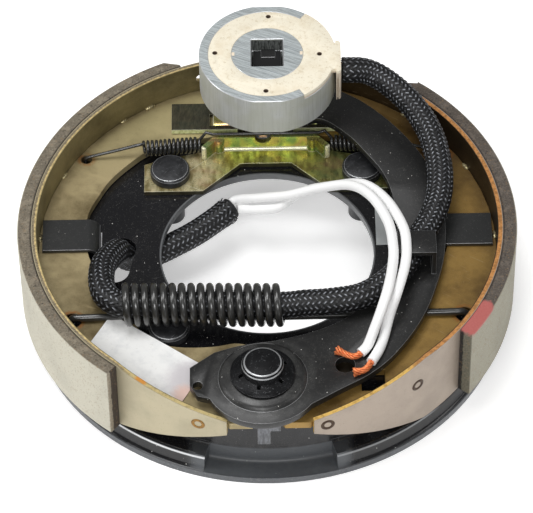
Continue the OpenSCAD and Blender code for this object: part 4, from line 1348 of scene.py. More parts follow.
def joined(name: str, parts: Sequence[bpy.types.Object]) -> bpy.types.Object:
    """Join parts into one piece.

    Args:
        name: The piece's name.
        parts: The parts; where there is one, it is only renamed.

    Returns:
        The piece.
    """
    only(parts[0])
    if len(parts) > 1:
        for part in parts:
            part.select_set(True)
        bpy.ops.object.join()
    piece = bpy.context.object
    piece.name = name
    return piece


def dress(node: str, body: str, slot: str, *finishes: Finish, width: float = 0.3, angle: float = 50.0,
          steps: int = 1, clamp: bool = True) -> None:
    """Copy a CAD node, break its sharp edges, which take the last finish, and let it stand for the node.

    Args:
        node: The node's name.
        body: The body that it moves with.
        slot: Not used.
        finishes: One finish, or one for the faces and one for the broken edges.
        width: Width of the broken edge in millimetres.
        angle: Edges sharper than this many degrees are broken.
        steps: Segments across an edge.
        clamp: Whether a short edge narrows the broken edges of the whole piece.
    """
    piece = from_node(node)
    wear(piece, *finishes)
    ease(piece, width, angle, segments=steps, material=len(finishes) - 1, use_clamp_overlap=clamp)
    smooth(piece, 30.0 if steps == 1 else 50.0)
    attach(piece, body, slot, node)


def spline(points: Sequence[Point], steps: int) -> list[Vector]:
    """Smooth curve through points, in metres, with some steps to each span.

    Args:
        points: Points in millimetres.
        steps: Steps to a span.

    Returns:
        The curve's points.
    """
    knots = [metres(p) for p in points]
    out: list[Vector] = []
    for i in range(len(knots) - 1):
        a, b, c, d = knots[max(i - 1, 0)], knots[i], knots[i + 1], knots[min(i + 2, len(knots) - 1)]
        for k in range(steps):
            t = k / steps
            out.append(b + t * ((c - a) + t * ((2 * a - 5 * b + 4 * c - d) + t * (3 * (b - c) + d - a))) / 2)
    out.append(knots[-1])
    return out


def evenly(points: Sequence[Vector], step: float) -> list[Vector]:
    """Points set evenly along a line.

    Args:
        points: The line.
        step: About how far apart they are, in metres.

    Returns:
        The new points.
    """
    lengths = [0.0]
    for a, b in zip(points, points[1:]):
        lengths.append(lengths[-1] + (b - a).length)
    count = max(2, round(lengths[-1] / step))
    out, i = [], 0
    for k in range(count + 1):
        at = lengths[-1] * k / count
        while i < len(lengths) - 2 and lengths[i + 1] < at:
            i += 1
        span = lengths[i + 1] - lengths[i]
        out.append(points[i].lerp(points[i + 1], (at - lengths[i]) / span if span else 0.0))
    return out


def line_length(points: Sequence[Vector]) -> float:
    """Length of a line of points."""
    return sum((b - a).length for a, b in zip(points, points[1:]))


@dataclass
class Carried:
    """A frame carried along a line without twist: at each point a tangent and two sides."""

    points: list[Vector]
    tangents: list[Vector] = field(default_factory=list)
    sides: list[Vector] = field(default_factory=list)

    def __post_init__(self) -> None:
        """Carry the first side along the line."""
        last = len(self.points) - 1
        for i in range(last + 1):
            self.tangents.append((self.points[min(i + 1, last)] - self.points[max(i - 1, 0)]).normalized())
        side = Vector((0, 0, 1))
        for tangent in self.tangents:
            side = (side - side.dot(tangent) * tangent).normalized()
            self.sides.append(side)

    def around(self, index: int, turn: float) -> Vector:
        """Unit vector out of the line at an angle about it."""
        side = self.sides[index]
        return math.cos(turn) * side + math.sin(turn) * self.tangents[index].cross(side)


def rod(name: str, points: Sequence[Vector], radius: float, sides: int = 12) -> bpy.types.Object:
    """A round rod along a line, as a mesh with closed ends.

    Args:
        name: The piece's name.
        points: The line, in metres.
        radius: The rod's radius, in millimetres.
        sides: Even number of sides.

    Returns:
        The piece.
    """
    curve = bpy.data.curves.new(name, "CURVE")
    curve.dimensions = "3D"
    curve.bevel_depth = radius * MM
    curve.bevel_resolution = (sides - 4) // 2
    curve.use_fill_caps = True
    line = curve.splines.new("POLY")
    line.points.add(len(points) - 1)
    for knot, point in zip(line.points, points):
        knot.co = (*point, 1.0)
    piece = placed(name, curve)
    only(piece)
    bpy.ops.object.convert(target="MESH")
    outward(piece)
    smooth(piece, 60.0)
    return piece


def crinkle(piece: bpy.types.Object, height: float, seed: int) -> None:
    """Lift a sheet's points a little, more along a few soft creases.

    Args:
        piece: A sheet that faces up.
        height: Largest lift in millimetres.
        seed: Seed of the creases.
    """
    rng = random.Random(seed)
    waves = [(rng.uniform(0.15, 0.6), rng.uniform(0.15, 0.6), rng.uniform(0, 6)) for _ in range(4)]
    for vertex in piece.data.vertices:
        x, y = vertex.co.x / MM, vertex.co.y / MM
        level = sum(math.sin(a * x + b * y + c) for a, b, c in waves) / len(waves)
        vertex.co.z += height * MM * (0.5 + 0.5 * level)
    piece.data.update()


# ---------------------------------------------------------------- camera and studio


@dataclass
class Studio:
    """Camera at the photograph's angle, soft lights and a pale floor."""

    camera_at: tuple[float, float, float] = (-0.353, -826.391, 932.326)
    pitch: float = 0.8454377
    roll: float = -0.0168894
    focal_pixels: float = 3490.8748
    sensor: float = 36.0
    seen: tuple[float, float] = (0.05, 20.0)
    boxes: tuple[tuple[str, Point, tuple[float, float], float], ...] = (
        ("top_box", (-0.2, 0.1, 1.2), (0.7, 0.5), 7.0),
        ("left_box", (-1.0, 0.0, 0.7), (0.3, 0.8), 4.0),
        ("right_box", (1.05, -0.15, 0.8), (0.3, 0.8), 2.0),
        ("front_box", (-0.1, -1.1, 0.95), (0.9, 0.35), 8.0))
    floor_size: float = 6.0
    sky: float = 0.2

    def camera(self) -> None:
        """Set the camera at the photograph's pitch, with its slight roll."""
        bpy.ops.object.camera_add(location=metres(self.camera_at))
        eye = bpy.context.object
        eye.name = "bench_camera"
        back = Vector((0.0, -math.cos(self.pitch), math.sin(self.pitch)))
        right = Vector((1.0, 0.0, 0.0))
        up = back.cross(right)
        c, s = math.cos(self.roll), math.sin(self.roll)
        columns = (c * right + s * up, c * up - s * right, back)
        eye.rotation_euler = Matrix(columns).transposed().to_euler()
        eye.data.sensor_fit = "HORIZONTAL"
        eye.data.sensor_width = self.sensor
        eye.data.lens = self.sensor * self.focal_pixels / IMAGE_WIDTH
        eye.data.clip_start, eye.data.clip_end = self.seen
        bpy.context.scene.camera = eye

    @staticmethod
    def lamp(name: str, at: Point, size: tuple[float, float], power: float) -> None:
        """Add one soft box that faces the middle of the bench.

        Args:
            name: Its name.
            at: Its place in metres.
            size: Its width and height in metres.
            power: Its power in watts.
        """
        bpy.ops.object.light_add(type="AREA", location=at)
        lamp = bpy.context.object
        lamp.name = name
        lamp.data.shape = "RECTANGLE"
        lamp.data.size, lamp.data.size_y = size
        lamp.data.energy = power
        lamp.rotation_euler = (-Vector(at)).to_track_quat("-Z", "Y").to_euler()

    def lights(self) -> None:
        """Light the bench as in a white box: bright top, softer front."""
        for box in self.boxes:
            self.lamp(*box)
        world = bpy.data.worlds.new("white_box")
        world.use_nodes = True
        colour, strength = world.node_tree.nodes["Background"].inputs[:2]
        colour.default_value, strength.default_value = (1.0, 1.0, 1.0, 1.0), self.sky
        bpy.context.scene.world = world
        bpy.context.scene.view_settings.view_transform = "Standard"

    def floor(self) -> None:
        """Lay the pale sheet."""
        bpy.ops.mesh.primitive_plane_add(size=self.floor_size, location=(0.0, 0.0, FLOOR_Z * MM))
        sheet = bpy.context.object
        sheet.name = "bench_sheet"
        fixed(sheet)
        wear(sheet, PaleFloor("pale_sheet"))


# ---------------------------------------------------------------- lead and wires


@dataclass
class SleevedLead:
    """The lead from the magnet: a dark core inside a braided sleeve whose far end is open."""

    upper: tuple[Point, ...] = (
        (28.2, 61.6, 31.8), (31, 61.8, 31.5), (35.2, 62.8, 30.2), (39.4, 62.6, 28.5), (44.2, 60.2, 26.8),
        (49.6, 55.6, 25), (54.4, 49.4, 23.4), (58.2, 42, 22), (60.6, 34, 21), (62, 21.5, 20), (61, 10, 18.6),
        (57.6, 0.4, 17.4), (53.6, -7, 16.75), (50.8, -13, 16.55), (48.4, -18, 16.55))
    lower: tuple[Point, ...] = (
        (47.9, -19.2, 16.55), (41.4, -27.2, 16.6), (32.4, -33.5, 16.6), (22, -35.6, 16.5), (13, -35.2, 15.3),
        (6, -34.9, 14.1), (-8, -34.5, 13.9), (-28, -34, 13.9), (-46, -33.5, 13.9), (-52, -33, 13.9),
        (-56.6, -28.6, 13.6), (-58.3, -22, 13.2), (-58, -14, 11.8), (-55.8, -7, 9.2), (-53.4, -0.6, 4.8),
        (-52.1, 2.6, 0), (-50.2, 4.8, -4.6), (-46, 6.8, -7), (-40, 9.2, -7.2), (-33, 12.8, -6.4),
        (-25.6, 17.4, -5.8), (-18, 23.4, -5), (-12.8, 27.8, -4.2))
    diameter: float = 9.5
    core_radius: float = 4.0
    strands: int = 16
    pitch: float = 30.0
    lift: float = 0.2
    half_width: float = 0.56
    section: tuple[tuple[float, float], ...] = ((-1.0, -0.1), (0.0, 0.12), (1.0, -0.1), (0.0, -0.16))
    frayed: float = 9.0
    flare: float = 0.75
    thinned: float = 0.35
    mouth: float = 3.0
    sag: tuple[Point, Point] = ((48.4, -18.0, 16.55), (14.0, -35.3, 15.4))

    def line(self) -> list[Vector]:
        """The whole route, evenly stepped."""
        return evenly(spline(self.upper, 10) + spline(self.lower, 10), 0.7 * MM)

    def core(self, carried: Carried) -> bpy.types.Object:
        """Build the core as a tube whose open end is sunk a little, like a mouth.

        Args:
            carried: The route's frame.

        Returns:
            The core.
        """
        sides, last = 20, len(carried.points) - 1
        rows = [(i, carried.points[i], self.core_radius) for i in range(0, last + 1, 2)]
        rows.append((last, carried.points[-1] - carried.tangents[-1] * self.mouth * MM, self.core_radius - 0.5))
        verts = [at + radius * MM * carried.around(i, 2 * math.pi * k / sides)
                 for i, at, radius in rows for k in range(sides)]
        faces: list[tuple[int, ...]] = []
        for j in range(len(rows) - 1):
            near, far = j * sides, (j + 1) * sides
            for k in range(sides):
                n = (k + 1) % sides
                faces.append((near + k, near + n, far + n, far + k))
        faces.insert((len(rows) - 2) * sides, tuple(reversed(range(sides))))
        faces.append(tuple(range(len(verts) - sides, len(verts))))
        piece = meshed("lead_core", verts, faces)
        outward(piece)
        smooth(piece, 60.0)
        wear(piece, DarkCore("sleeve_inside"))
        return piece

    def braid(self, carried: Carried) -> bpy.types.Object:
        """Weave flat strands over and under each other, two by two, round the core.

        Args:
            carried: The route's frame.

        Returns:
            The sleeve.
        """
        rng = random.Random(11)
        step = (carried.points[1] - carried.points[0]).length / MM
        total = step * (len(carried.points) - 1)
        middle = self.diameter / 2 - self.lift - max(rise for _, rise in self.section)
        verts: list[Vector] = []
        faces: list[tuple[int, ...]] = []
        uvs: list[tuple[float, float]] = []
        for way in (1, -1):
            for k in range(self.strands):
                fray, short = rng.uniform(0.2, 1.0), rng.uniform(0.0, 2.4)
                first, heights = len(verts), []
                for i, point in enumerate(carried.points):
                    s = i * step
                    if s > total - short:
                        break
                    cross = k + way * 2 * self.strands * s / self.pitch
                    wave = way * math.sin(math.pi / 2 * (k + cross) + math.pi / 4)
                    loose = max(0.0, 1 - (total - s) / self.frayed)
                    radius = middle + self.lift * wave + self.flare * fray * loose ** 2
                    out = carried.around(i, 2 * math.pi * (k / self.strands + way * s / self.pitch))
                    side = carried.tangents[i].cross(out)
                    along = (carried.tangents[i] + way * 2 * math.pi * radius / self.pitch * side).normalized()
                    flat = along.cross(out).normalized()
                    half = self.half_width * (1 - self.thinned * loose)
                    for share, rise in self.section:
                        verts.append(point + ((radius + rise) * out + share * half * flat) * MM)
                    heights.append(0.5 + 0.5 * wave)
                self._skin(first, heights, faces, uvs)
        piece = meshed("lead_braid", verts, faces)
        for loop, uv in zip(piece.data.uv_layers.new(name="strand").data, uvs):
            loop.uv = uv
        outward(piece)
        smooth(piece, 70.0)
        wear(piece, BraidedYarn("braided_yarn"))
        return piece

    @staticmethod
    def _skin(first: int, heights: Sequence[float], faces: list[tuple[int, ...]],
              uvs: list[tuple[float, float]]) -> None:
        """Close one strand's four-sided section along its rows and over both ends.

        Args:
            first: Index of the strand's first vertex.
            heights: How far each row lies on top, from 0 to 1.
            faces: Faces that the strand's are added to.
            uvs: Loop coordinates: across the strand, and its height in the weave.
        """
        across = (0.0, 0.5, 1.0, 0.5)
        for r in range(len(heights) - 1):
            a, b = first + 4 * r, first + 4 * (r + 1)
            for c in range(4):
                n = (c + 1) % 4
                faces.append((a + c, a + n, b + n, b + c))
                uvs += [(across[c], heights[r]), (across[n], heights[r]),
                        (across[n], heights[r + 1]), (across[c], heights[r + 1])]
        last = first + 4 * (len(heights) - 1)
        for ends in ((first + 3, first + 2, first + 1, first), (last, last + 1, last + 2, last + 3)):
            faces.append(ends)
            uvs += [(0.5, 0.0)] * 4

    def build(self) -> None:
        carried = Carried(self.line())
        core, braid = self.core(carried), self.braid(carried)
        for piece in (core, braid):
            bridge(piece, ("arm", "root"), self.sag, "sleeve", "lead_upper", "lead_lower")
        round(line_length(carried.points), 4)


@dataclass
class SupplyWires:
    """Two white wires out of the sleeve, stripped and twisted at their far ends."""

    routes: tuple[tuple[Point, ...], ...] = (
        ((-13.2, 29.9, -4), (-11.6, 31, -3.7), (-8.5, 30.6, -2.4), (-4.5, 28.8, -0.3), (1.3, 26.7, 2.5),
         (8.5, 24.3, 6), (19.2, 21.5, 12.5), (29.8, 16.2, 19.5), (37.2, 5.8, 24.4), (42.4, -7.7, 26),
         (43.7, -18.9, 26.4), (43.4, -26.9, 26.6), (41.6, -37.6, 26.8), (39, -44.7, 23), (36.1, -50.2, 17.8),
         (33.8, -54.4, 14.6), (31.4, -56.8, 13.6)),
        ((-10.8, 27, -4.2), (-8.8, 27.2, -4.6), (-6.2, 26.6, -4.2), (-3, 25.4, -2.8), (5, 24.2, 0),
         (12.3, 27, 4.4), (24.6, 23.4, 11.6), (34.6, 17, 19), (42.3, 5, 23.6), (47.5, -9.3, 25.6),
         (48.4, -18.7, 25.6), (47.6, -27, 25), (44.8, -37, 23.4), (41.9, -42.7, 17.4), (39.4, -50.8, 13.9),
         (37.4, -56.4, 13.75), (34.9, -61, 13.75)))
    ends: tuple[tuple[Point, ...], ...] = (
        ((31.2, -57, 13.55), (30.2, -57.8, 13.4), (27.6, -57.6, 13.2), (20.8, -53.4, 13.1)),
        ((34.75, -61.3, 13.75), (34.1, -62.5, 13.6), (32, -64.4, 13.3), (26.4, -65.4, 13.2)))
    diameter: float = 3.6
    strand_radius: float = 0.38
    strand_step: float = 0.35
    outer_strands: int = 6
    spread: float = 0.8
    parting: float = 0.55
    parted_from: float = 0.75
    shown: float = 0.8
    lay: float = 9.0

    def line(self, index: int) -> list[Vector]:
        """One wire's route, smooth, in metres."""
        return spline(self.routes[index], 8)

    def wire(self, index: int) -> bpy.types.Object:
        """Build one wire's insulation, with its edges eased where it is stripped.

        Args:
            index: Which wire.

        Returns:
            The wire.
        """
        piece = rod("supply_wire_" + "ab"[index] + "_insulation", self.line(index), self.diameter / 2, 16)
        ease(piece, 0.25, 60.0, segments=2)
        smooth(piece, 50.0)
        wear(piece, Insulation("white_insulation"))
        return piece

    def core(self, index: int) -> bpy.types.Object:
        """Twist strands about a middle one at a wire's stripped end and let their tips part.

        Args:
            index: Which wire.

        Returns:
            The strands.
        """
        whole = evenly(self.line(index)[-4:-1] + spline(self.ends[index], 8)[1:], self.strand_step * MM)
        carried = Carried(whole[:round(self.shown * len(whole))])
        count = len(carried.points)
        parts = []
        for k in range(self.outer_strands + 1):
            line = []
            for i, point in enumerate(carried.points):
                late = max(0.0, i / (count - 1) - self.parted_from) / (1 - self.parted_from)
                spread = self.spread + self.parting * late if k < self.outer_strands else 0.0
                turn = 2 * math.pi * (k / self.outer_strands + i * self.strand_step / self.lay)
                line.append(point + spread * MM * carried.around(i, turn))
            parts.append(rod(f"strand_{index}_{k}", line, self.strand_radius, 6))
        piece = joined("wire_core_" + "ab"[index], parts)
        smooth(piece, 60.0)
        wear(piece, COPPER)
        return piece

    def build(self) -> None:
        for index in range(2):
            insulation, strands = self.wire(index), self.core(index)
            attach(insulation, "root", "white_wire", "supply_wire_" + "ab"[index])
            attach(strands, "root", "copper", "wire_cores")
            points = self.line(index)
            round(line_length(points), 4)


# ---------------------------------------------------------------- plate and pivot


@dataclass
class Plate:
    """Pressed backing plate with its studs, pin, push nut, hold-downs and the blank foil label."""

    foil_from: tuple[float, float] = (38.9, 2.2)
    foil_to: tuple[float, float] = (45.6, 21.1)
    foil_z: float = 2.86
    foil_thickness: float = 0.08

    def pressing(self) -> None:
        """Dress the pressing, whose cut edges shine a little, and the studs, whose light bevels are partly painted
        highlight.
        """
        dress("backing_plate", "root", "black_plate", GLOSS, PLATE_EDGE, width=0.35)
        dress("mounting_studs", "root", "black_oxide", DarkSteel("stud_oxide"), STUD_EDGE, angle=30.0)

    def pivot(self) -> None:
        """Dress the pin and its push nut."""
        dress("pivot_pin", "root", "black_oxide", PIN_STEEL, EDGE, angle=30.0)
        dress("push_nut", "root", "black_oxide", PIN_STEEL, DULL_EDGE, width=0.18, angle=28.0)

    def hold_downs(self) -> None:
        """Dress both strips."""
        for side in ("left", "right"):
            dress("hold_down_" + side, "root", "black_steel", STRIP, STRIP_EDGE, width=0.4)

    def foil(self) -> None:
        """Lay the blank silver label on the plate."""
        (x0, y0), (x1, y1) = self.foil_from, self.foil_to
        bpy.ops.mesh.primitive_grid_add(x_subdivisions=8, y_subdivisions=20, size=1.0,
                                        location=metres(((x0 + x1) / 2, (y0 + y1) / 2, self.foil_z)))
        piece = bpy.context.object
        piece.name = "foil_label"
        piece.scale = ((x1 - x0) * MM, (y1 - y0) * MM, 1.0)
        fixed(piece)
        crinkle(piece, 0.1, 5)
        modify(piece, "SOLIDIFY", thickness=self.foil_thickness * MM, offset=1.0)
        smooth(piece)
        wear(piece, BlankLabel("foil_label_stock", base=tone(206, 210, 210), foil=True))
        attach(piece, "root", "black_plate")

    def build(self) -> None:
        """Make every piece of the plate."""
        self.pressing()
        self.pivot()
        self.hold_downs()
        self.foil()


# ---------------------------------------------------------------- adjuster


@dataclass
class Adjuster:
    """Bracket, housing, screw, star wheel and sockets in yellow zinc."""

    wall_half: float = 17.6
    wall_top: float = 10.6
    fillet: float = 1.1
    wing_end: tuple[float, float] = (22.34, 44.38)
    wing_radius: float = 1.02

    def bends(self) -> None:
        """Fill the bend at the wall's foot and round the wings' front ends."""
        f = self.fillet
        bpy.ops.mesh.primitive_cube_add(size=1.0, location=metres((0.0, WALL_Y - f / 2, FOOT_TOP + f / 2)),
                                        scale=metres((2 * self.wall_half, f, f)))
        strip = fixed(bpy.context.object)
        edit(strip, "DESELECT")
        bpy.ops.mesh.select_mode(type="EDGE")
        leave()
        near, high = (WALL_Y - f) * MM, (FOOT_TOP + f) * MM
        for line in strip.data.edges:
            ends = [strip.data.vertices[k].co for k in line.vertices]
            line.select = all(abs(p.y - near) < CLOSE and abs(p.z - high) < CLOSE for p in ends)
        bpy.ops.object.mode_set(mode="EDIT")
        bpy.ops.mesh.bevel(offset=0.96 * f * MM, segments=8, profile=0.12, affect="EDGES")
        bpy.ops.mesh.select_mode(type="VERT")
        leave()
        parts = [strip]
        x, y = self.wing_end
        for side in (-1, 1):
            bpy.ops.mesh.primitive_cylinder_add(
                vertices=24, radius=self.wing_radius * MM, depth=(self.wall_top - FOOT_TOP) * MM,
                location=metres((side * x, y, (self.wall_top + FOOT_TOP) / 2)))
            end = fixed(bpy.context.object)
            ease(end, 0.35, 60.0, segments=3)
            parts.append(end)
        piece = joined("bracket_bends", parts)
        smooth(piece, 50.0)
        wear(piece, BEND_ZINC)
        attach(piece, "root", "yellow_zinc")

    def bracket(self) -> None:
        """Dress the bracket; its foot's cut edges are broken wider than its wall's."""
        piece = from_node("adjuster_bracket")
        wear(piece, BRACKET_ZINC, ZINC_EDGE)
        high, back = FOOT_TOP * MM, (WALL_Y - 0.7) * MM
        foot = [v.index for v in piece.data.vertices if abs(v.co.z - high) < CLOSE and v.co.y < back]
        piece.vertex_groups.new(name="foot").add(foot, 1.0, "REPLACE")
        modify(piece, "BEVEL", width=0.4 * MM, segments=1, limit_method="VGROUP", vertex_group="foot", material=1)
        piece.vertex_groups.clear()
        ease(piece, 0.3, 60.0, segments=1, material=1)
        smooth(piece, 30.0)
        attach(piece, "root", "yellow_zinc", "adjuster_bracket")

    def build(self) -> None:
        """Dress every piece; the sheet's cut edges are bright."""
        self.bracket()
        self.bends()
        # The housing's zinc at 0.45 of its tone is painted shade.
        dull = YellowZinc("shaded_zinc_plate", shade=0.45, part=ZincPart.HOUSING)
        dress("adjuster_housing", "root", "yellow_zinc", dull, ZINC_EDGE, angle=40.0)
        dress("adjuster_screw", "star", "yellow_zinc", ZINC, ZINC_EDGE, width=0.2, angle=30.0)
        dress("star_wheel", "star", "yellow_zinc", ZINC, ZINC_EDGE, width=0.14, angle=30.0)
        for side in ("left", "right"):
            dress("adjuster_socket_" + side, "socket_" + side, "yellow_zinc", ZINC, ZINC_EDGE, width=0.22,
                  angle=35.0)


# ---------------------------------------------------------------- shoes


@dataclass
class Shoe:
    """One shoe: table, web and lining, with its weld marks."""

    side: ShoeSide
    nuggets: tuple[Point, ...]
    rings: tuple[Point, ...]
    low: Colour
    high: Colour
    table: OliveZinc
    lining: Lining
    bead_shape: Point = (0.8, 1.7, 0.62)
    bead_sunk: float = 0.35
    bead_rise: float = 0.25
    uneven: float = 0.05
    ring_radius: float = 1.85
    ring_wire: float = 0.62
    ring_shape: Point = (1.0, 1.0, 0.3)

    @property
    def node(self) -> str:
        """Start of the nodes' names."""
        return "secondary" if self.side is ShoeSide.LEFT else "primary"

    @property
    def body(self) -> str:
        """The shoe's body."""
        return self.node + "_shoe"

    def blanks(self) -> None:
        """Dress web, table and lining."""
        web = OliveZinc(self.node + "_web_zinc", side=self.side, low=self.low, high=self.high)
        for part, slot, finish, width in (("_web", "olive_zinc", web, 0.3), ("_table", "olive_zinc", self.table, 0.25),
                                          ("_lining", "friction", self.lining, 0.35)):
            dress(self.node + part, self.body, slot, finish, finish, width=width, angle=40.0)

    def beads(self) -> None:
        """Set small weld nuggets in the corner between web and table."""
        rng = random.Random(3 + self.side.value)
        parts, seat = [], TABLE_IN - self.bead_sunk
        for x, y, size in self.nuggets:
            reach = math.hypot(x, y)
            x, y = x * seat / reach, y * seat / reach
            bpy.ops.mesh.primitive_uv_sphere_add(segments=20, ring_count=12, radius=size * MM,
                                                 location=metres((x, y, WEB_TOP + self.bead_rise)))
            drop = bpy.context.object
            edit(drop)
            bpy.ops.transform.resize(value=self.bead_shape, center_override=metres((x, y, WEB_TOP)))
            leave()
            for vertex in drop.data.vertices:
                vertex.co *= 1 + rng.uniform(-self.uneven, self.uneven)
            drop.rotation_euler.z = math.atan2(y, x)
            fixed(drop)
            parts.append(drop)
        piece = joined(self.node + "_weld_beads", parts)
        modify(piece, "SUBSURF", levels=1, render_levels=1)
        smooth(piece, 60.0)
        wear(piece, WeldBead("weld_bead", base=tone(206, 194, 150)))
        attach(piece, self.body, "olive_zinc")

    def heat_rings(self) -> None:
        """Press faint weld rings into the table's outside."""
        parts = []
        for x, y, z in self.rings:
            turn = math.atan2(y, x)
            at = metres((TABLE_R * math.cos(turn), TABLE_R * math.sin(turn), z))
            bpy.ops.mesh.primitive_torus_add(major_segments=36, minor_segments=8, location=at,
                                             rotation=(0.0, math.pi / 2, turn),
                                             major_radius=self.ring_radius * MM,
                                             minor_radius=self.ring_wire * MM)
            ring = bpy.context.object
            edit(ring)
            bpy.ops.transform.resize(value=self.ring_shape, orient_type="LOCAL")
            leave()
            fixed(ring)
            parts.append(ring)
        piece = joined(self.node + "_weld_rings", parts)
        smooth(piece, 60.0)
        ring = tone(150, 112, 56) if self.side is ShoeSide.LEFT else tone(66, 50, 40)
        wear(piece, WeldBead(self.node + "_weld_ring", base=ring))
        attach(piece, self.body, "olive_zinc")

    def build(self) -> None:
        """Make every piece of the shoe."""
        self.blanks()
        self.beads()
        self.heat_rings()


@dataclass
class PaperLabel:
    """The blank white label that is stuck askew on the left web."""

    corners: tuple[Point, ...] = ((-54.7, -31.6), (-21.9, -56.2), (-30.3, -71.6), (-63.2, -46.9))
    level: float = 6.22
    end_curl: tuple[float, float] = (0.9, 0.16)
    edge_curl: tuple[float, float] = (0.35, 0.15)
    thickness: float = 0.1

    def build(self) -> None:
        """Lay a creased sheet between the four corners, curled up at its outer end."""
        bpy.ops.mesh.primitive_grid_add(x_subdivisions=28, y_subdivisions=14, size=2.0, location=(0.0, 0.0, 0.0))
        piece = bpy.context.object
        piece.name = "web_label"
        a, b, c, d = (Vector((*p, 0.0)) for p in self.corners)
        (high, end), (low, edge) = self.end_curl, self.edge_curl
        for vertex in piece.data.vertices:
            u, v = (vertex.co.x + 1) / 2, (vertex.co.y + 1) / 2
            flat = (d.lerp(c, u)).lerp(a.lerp(b, u), v)
            curl = high * max(0.0, (end - u) / end) ** 2 + low * max(0.0, (v - (1 - edge)) / edge) ** 2
            vertex.co = metres((flat.x, flat.y, self.level + curl))
        crinkle(piece, 0.22, 8)
        modify(piece, "SOLIDIFY", thickness=self.thickness * MM, offset=1.0)
        smooth(piece)
        wear(piece, BlankLabel("paper_label_stock"))
        attach(piece, "secondary_shoe", "white_wire")


# ---------------------------------------------------------------- springs


@dataclass
class Springs:
    """Retractor, adjuster and magnet springs, wound as smooth coils."""

    retractor_wire: float = 2.7
    retractor_radius: float = 6.4
    retractor_turns: int = 17
    retractor_from: Point = (-51, -33.4, 14)
    retractor_to: Point = (4.6, -34.8, 14)
    adjuster_wire: float = 1.25
    adjuster_radius: float = 2.45
    adjuster_turns: int = 13
    adjuster_from: Point = (44.4, 45.4, 9.2)
    adjuster_to: Point = (24.2, 48.2, 7.9)
    magnet_wire: float = 1.2
    magnet_radius: float = 6.6
    magnet_turns: int = 6
    post: Point = (1.4, 65.0)
    post_span: tuple[float, float] = (15.9, 25.8)

    @staticmethod
    def coil(start: Point, end: Point, radius: float, turns: int, steps: int, first: float) -> list[Vector]:
        """Points of a coil from one end of its axis to the other.

        Args:
            start: Start of the axis, in millimetres.
            end: Its end.
            radius: Radius of the wire's middle.
            turns: Number of turns.
            steps: Points to a turn.
            first: Angle where the coil starts, in degrees from straight up.

        Returns:
            The points, in metres.
        """
        a, b = metres(start), metres(end)
        axis = (b - a).normalized()
        up = Vector((0, 0, 1))
        side = (up - up.dot(axis) * axis).normalized()
        x_axis, y_axis, count = side * radius * MM, axis.cross(side) * radius * MM, turns * steps
        out = []
        for i in range(count + 1):
            turn = math.radians(first + 360 * i / steps)
            out.append(a + (b - a) * (i / count) + math.cos(turn) * x_axis + math.sin(turn) * y_axis)
        return out

    def retractor(self) -> None:
        """Wind the retractor with a hook through each web."""
        x, y = 69.1, -33.7
        left = [(-x - 2.5, y, 1.45), (-x, y, 2.45), (-x, y, 5.9), (-x + 1.25, y, 7.4), (-x + 4, y, 7.55)]
        right = [(x - 4, y, 7.55), (x - 1.25, y, 7.4), (x, y, 5.9), (x, y, 2.45), (x + 2.5, y, 1.45)]
        body = self.coil(self.retractor_from, self.retractor_to, self.retractor_radius, self.retractor_turns, 32, 180)
        line = spline(left, 6) + body + spline(right, 6)
        piece = rod("retractor_coil", line, self.retractor_wire / 2, 14)
        wear(piece, SpringEnamel("spring_enamel", rough=0.24, coat=1.0))
        attach(piece, "root", "black_steel", "retractor_spring")

    def adjuster(self) -> None:
        """Wind the two small coils and the straight wire between them."""
        x, y = 65.5, 43.3
        hook = [(x + 2, y, 1.8), (x + 0.2, y, 2), (x, y, 5.9), (x - 1.2, y + 0.1, 7.3), (54, 44.4, 9.6),
                (46.6, 45.2, 11.3)]
        outer = self.coil(self.adjuster_from, self.adjuster_to, self.adjuster_radius, self.adjuster_turns, 24, 0)
        half = spline(hook, 6) + outer + [metres(p) for p in ((21.6, 51.3, 11), (19.2, 50.1, 11.2))]
        other = [Vector((-p.x, p.y, p.z)) for p in reversed(half)]
        piece = rod("adjuster_coil", half + other, self.adjuster_wire / 2, 10)
        wear(piece, SpringEnamel("thin_spring_enamel", rough=0.2, coat=1.0))
        attach(piece, "root", "black_steel", "adjuster_spring")

    def magnet(self) -> None:
        """Wind the spring under the magnet, with a closed turn at each end."""
        (x, y), (low, high), turns, steps, lean = self.post, self.post_span, self.magnet_turns, 28, 0.25
        radius, line = self.magnet_radius, []
        for i in range(turns * steps + 1):
            part = i / (turns * steps)
            rise = min(1.0, max(0.0, (part - 1 / turns) / ((turns - 2) / turns)))
            z = low + lean * part + (high - low - lean) * rise
            turn = 2 * math.pi * i / steps
            line.append(metres((x + radius * math.cos(turn), y + radius * math.sin(turn), z)))
        piece = rod("magnet_coil_spring", line, self.magnet_wire / 2, 10)
        wear(piece, SpringEnamel("magnet_spring_enamel"))
        bridge(piece, ("arm", "magnet"), ((x, y, low), (x, y, high)), "black_steel", "magnet_spring")

    def build(self) -> None:
        """Wind all three springs."""
        self.retractor()
        self.adjuster()
        self.magnet()


# ---------------------------------------------------------------- arm and magnet


@dataclass
class Arm:
    """The curved actuating arm and the post that stands in it."""

    def build(self) -> None:
        """Dress arm and post."""
        dress("actuating_arm", "arm", "black_steel", SATIN, COAT_EDGE, width=0.55, steps=2)
        oxide = BlackCoat("post_oxide", base=(0.003, 0.003, 0.0032), rough=0.55, dust=0.25)
        dress("magnet_post", "arm", "black_steel", oxide, STRIP_EDGE, width=0.2)
        dark = BrightSteel("clip_steel", base=(0.010, 0.010, 0.011), rough=0.45, metal=0.3, worn=0.2)
        dress("magnet_clip", "arm", "pole_steel", dark, DULL_EDGE, width=0.15)


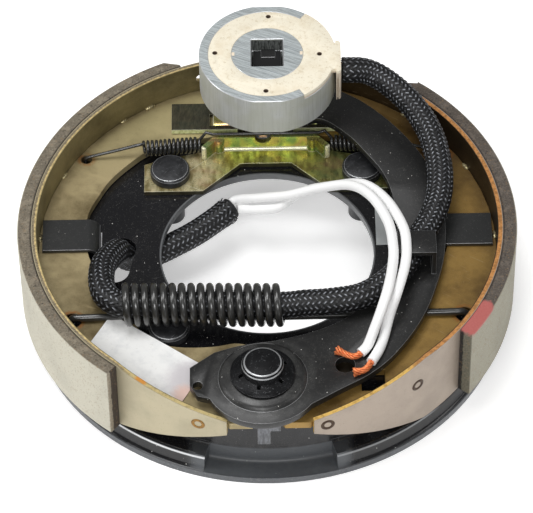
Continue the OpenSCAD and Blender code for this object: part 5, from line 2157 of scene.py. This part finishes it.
@dataclass
class Magnet:
    """Steel pot, copper winding and cream potting."""

    def build(self) -> None:
        """Dress pot, winding and potting; the pot's rim is bright, the resin's edges are soft."""
        rim = BrightSteel("rim_steel", base=(0.7, 0.72, 0.74), rough=0.26, metal=0.5, worn=0.2)
        dress("magnet_pot", "magnet", "pole_steel", STEEL, rim, width=0.24, clamp=False)
        dress("magnet_coil", "magnet", "copper", COPPER)
        dress("magnet_potting", "magnet", "resin", RESIN, RESIN, width=0.35, steps=2)


# ---------------------------------------------------------------- the whole brake


LEFT_SHOE = Shoe(
    ShoeSide.LEFT,
    nuggets=((-43.1, 70.5, 1.3), (-51.5, 62.0, 0.9), (-74.0, 35.9, 1.0), (-82.1, 5.5, 1.1)),
    rings=((-24.7, -79.6, 4.6),),
    low=tone(106, 92, 60), high=tone(178, 162, 122),
    table=OliveZinc("left_table_zinc", low=tone(92, 82, 54), high=tone(150, 138, 98), outside=True,
                    face=tone(186, 176, 148), lip=tone(214, 190, 132)),
    lining=Lining("left_lining", end=tone(160, 150, 132)))
RIGHT_SHOE = Shoe(
    ShoeSide.RIGHT,
    nuggets=((53.4, 65.7, 1.0), (71.8, 36.5, 1.1), (79.4, 3.2, 1.1)),
    rings=((19.6, -81.0, 4.6), (50.8, -66.0, 7.0)),
    low=tone(84, 60, 26), high=tone(158, 126, 66),
    # The right table's dark low and high tones are painted shade on its inside.
    table=OliveZinc("right_table_zinc", side=ShoeSide.RIGHT, low=tone(34, 26, 15), high=tone(64, 50, 29),
                    outside=True, face=tone(172, 158, 144), lip=tone(198, 138, 76), slope=tone(218, 178, 92)),
    lining=Lining("right_lining", top=tone(84, 77, 70), outer=tone(160, 156, 140), end=tone(112, 108, 92),
                  joint=tone(28, 25, 22), ends=(-38.0, 53.0), dabbed=True))


def main() -> None:
    """Build the studio, the cords and every sub-assembly."""
    logging.basicConfig(level=logging.INFO, format="%(name)s %(message)s")
    bpy.ops.object.select_all(action="DESELECT")
    studio = Studio()
    studio.camera()
    SleevedLead().build()
    SupplyWires().build()
    studio.lights()
    studio.floor()
    for assembly in (Plate(), Adjuster(), LEFT_SHOE, RIGHT_SHOE, PaperLabel(), Springs(), Arm(), Magnet()):
        assembly.build()


if __name__ == "__main__":
    main()
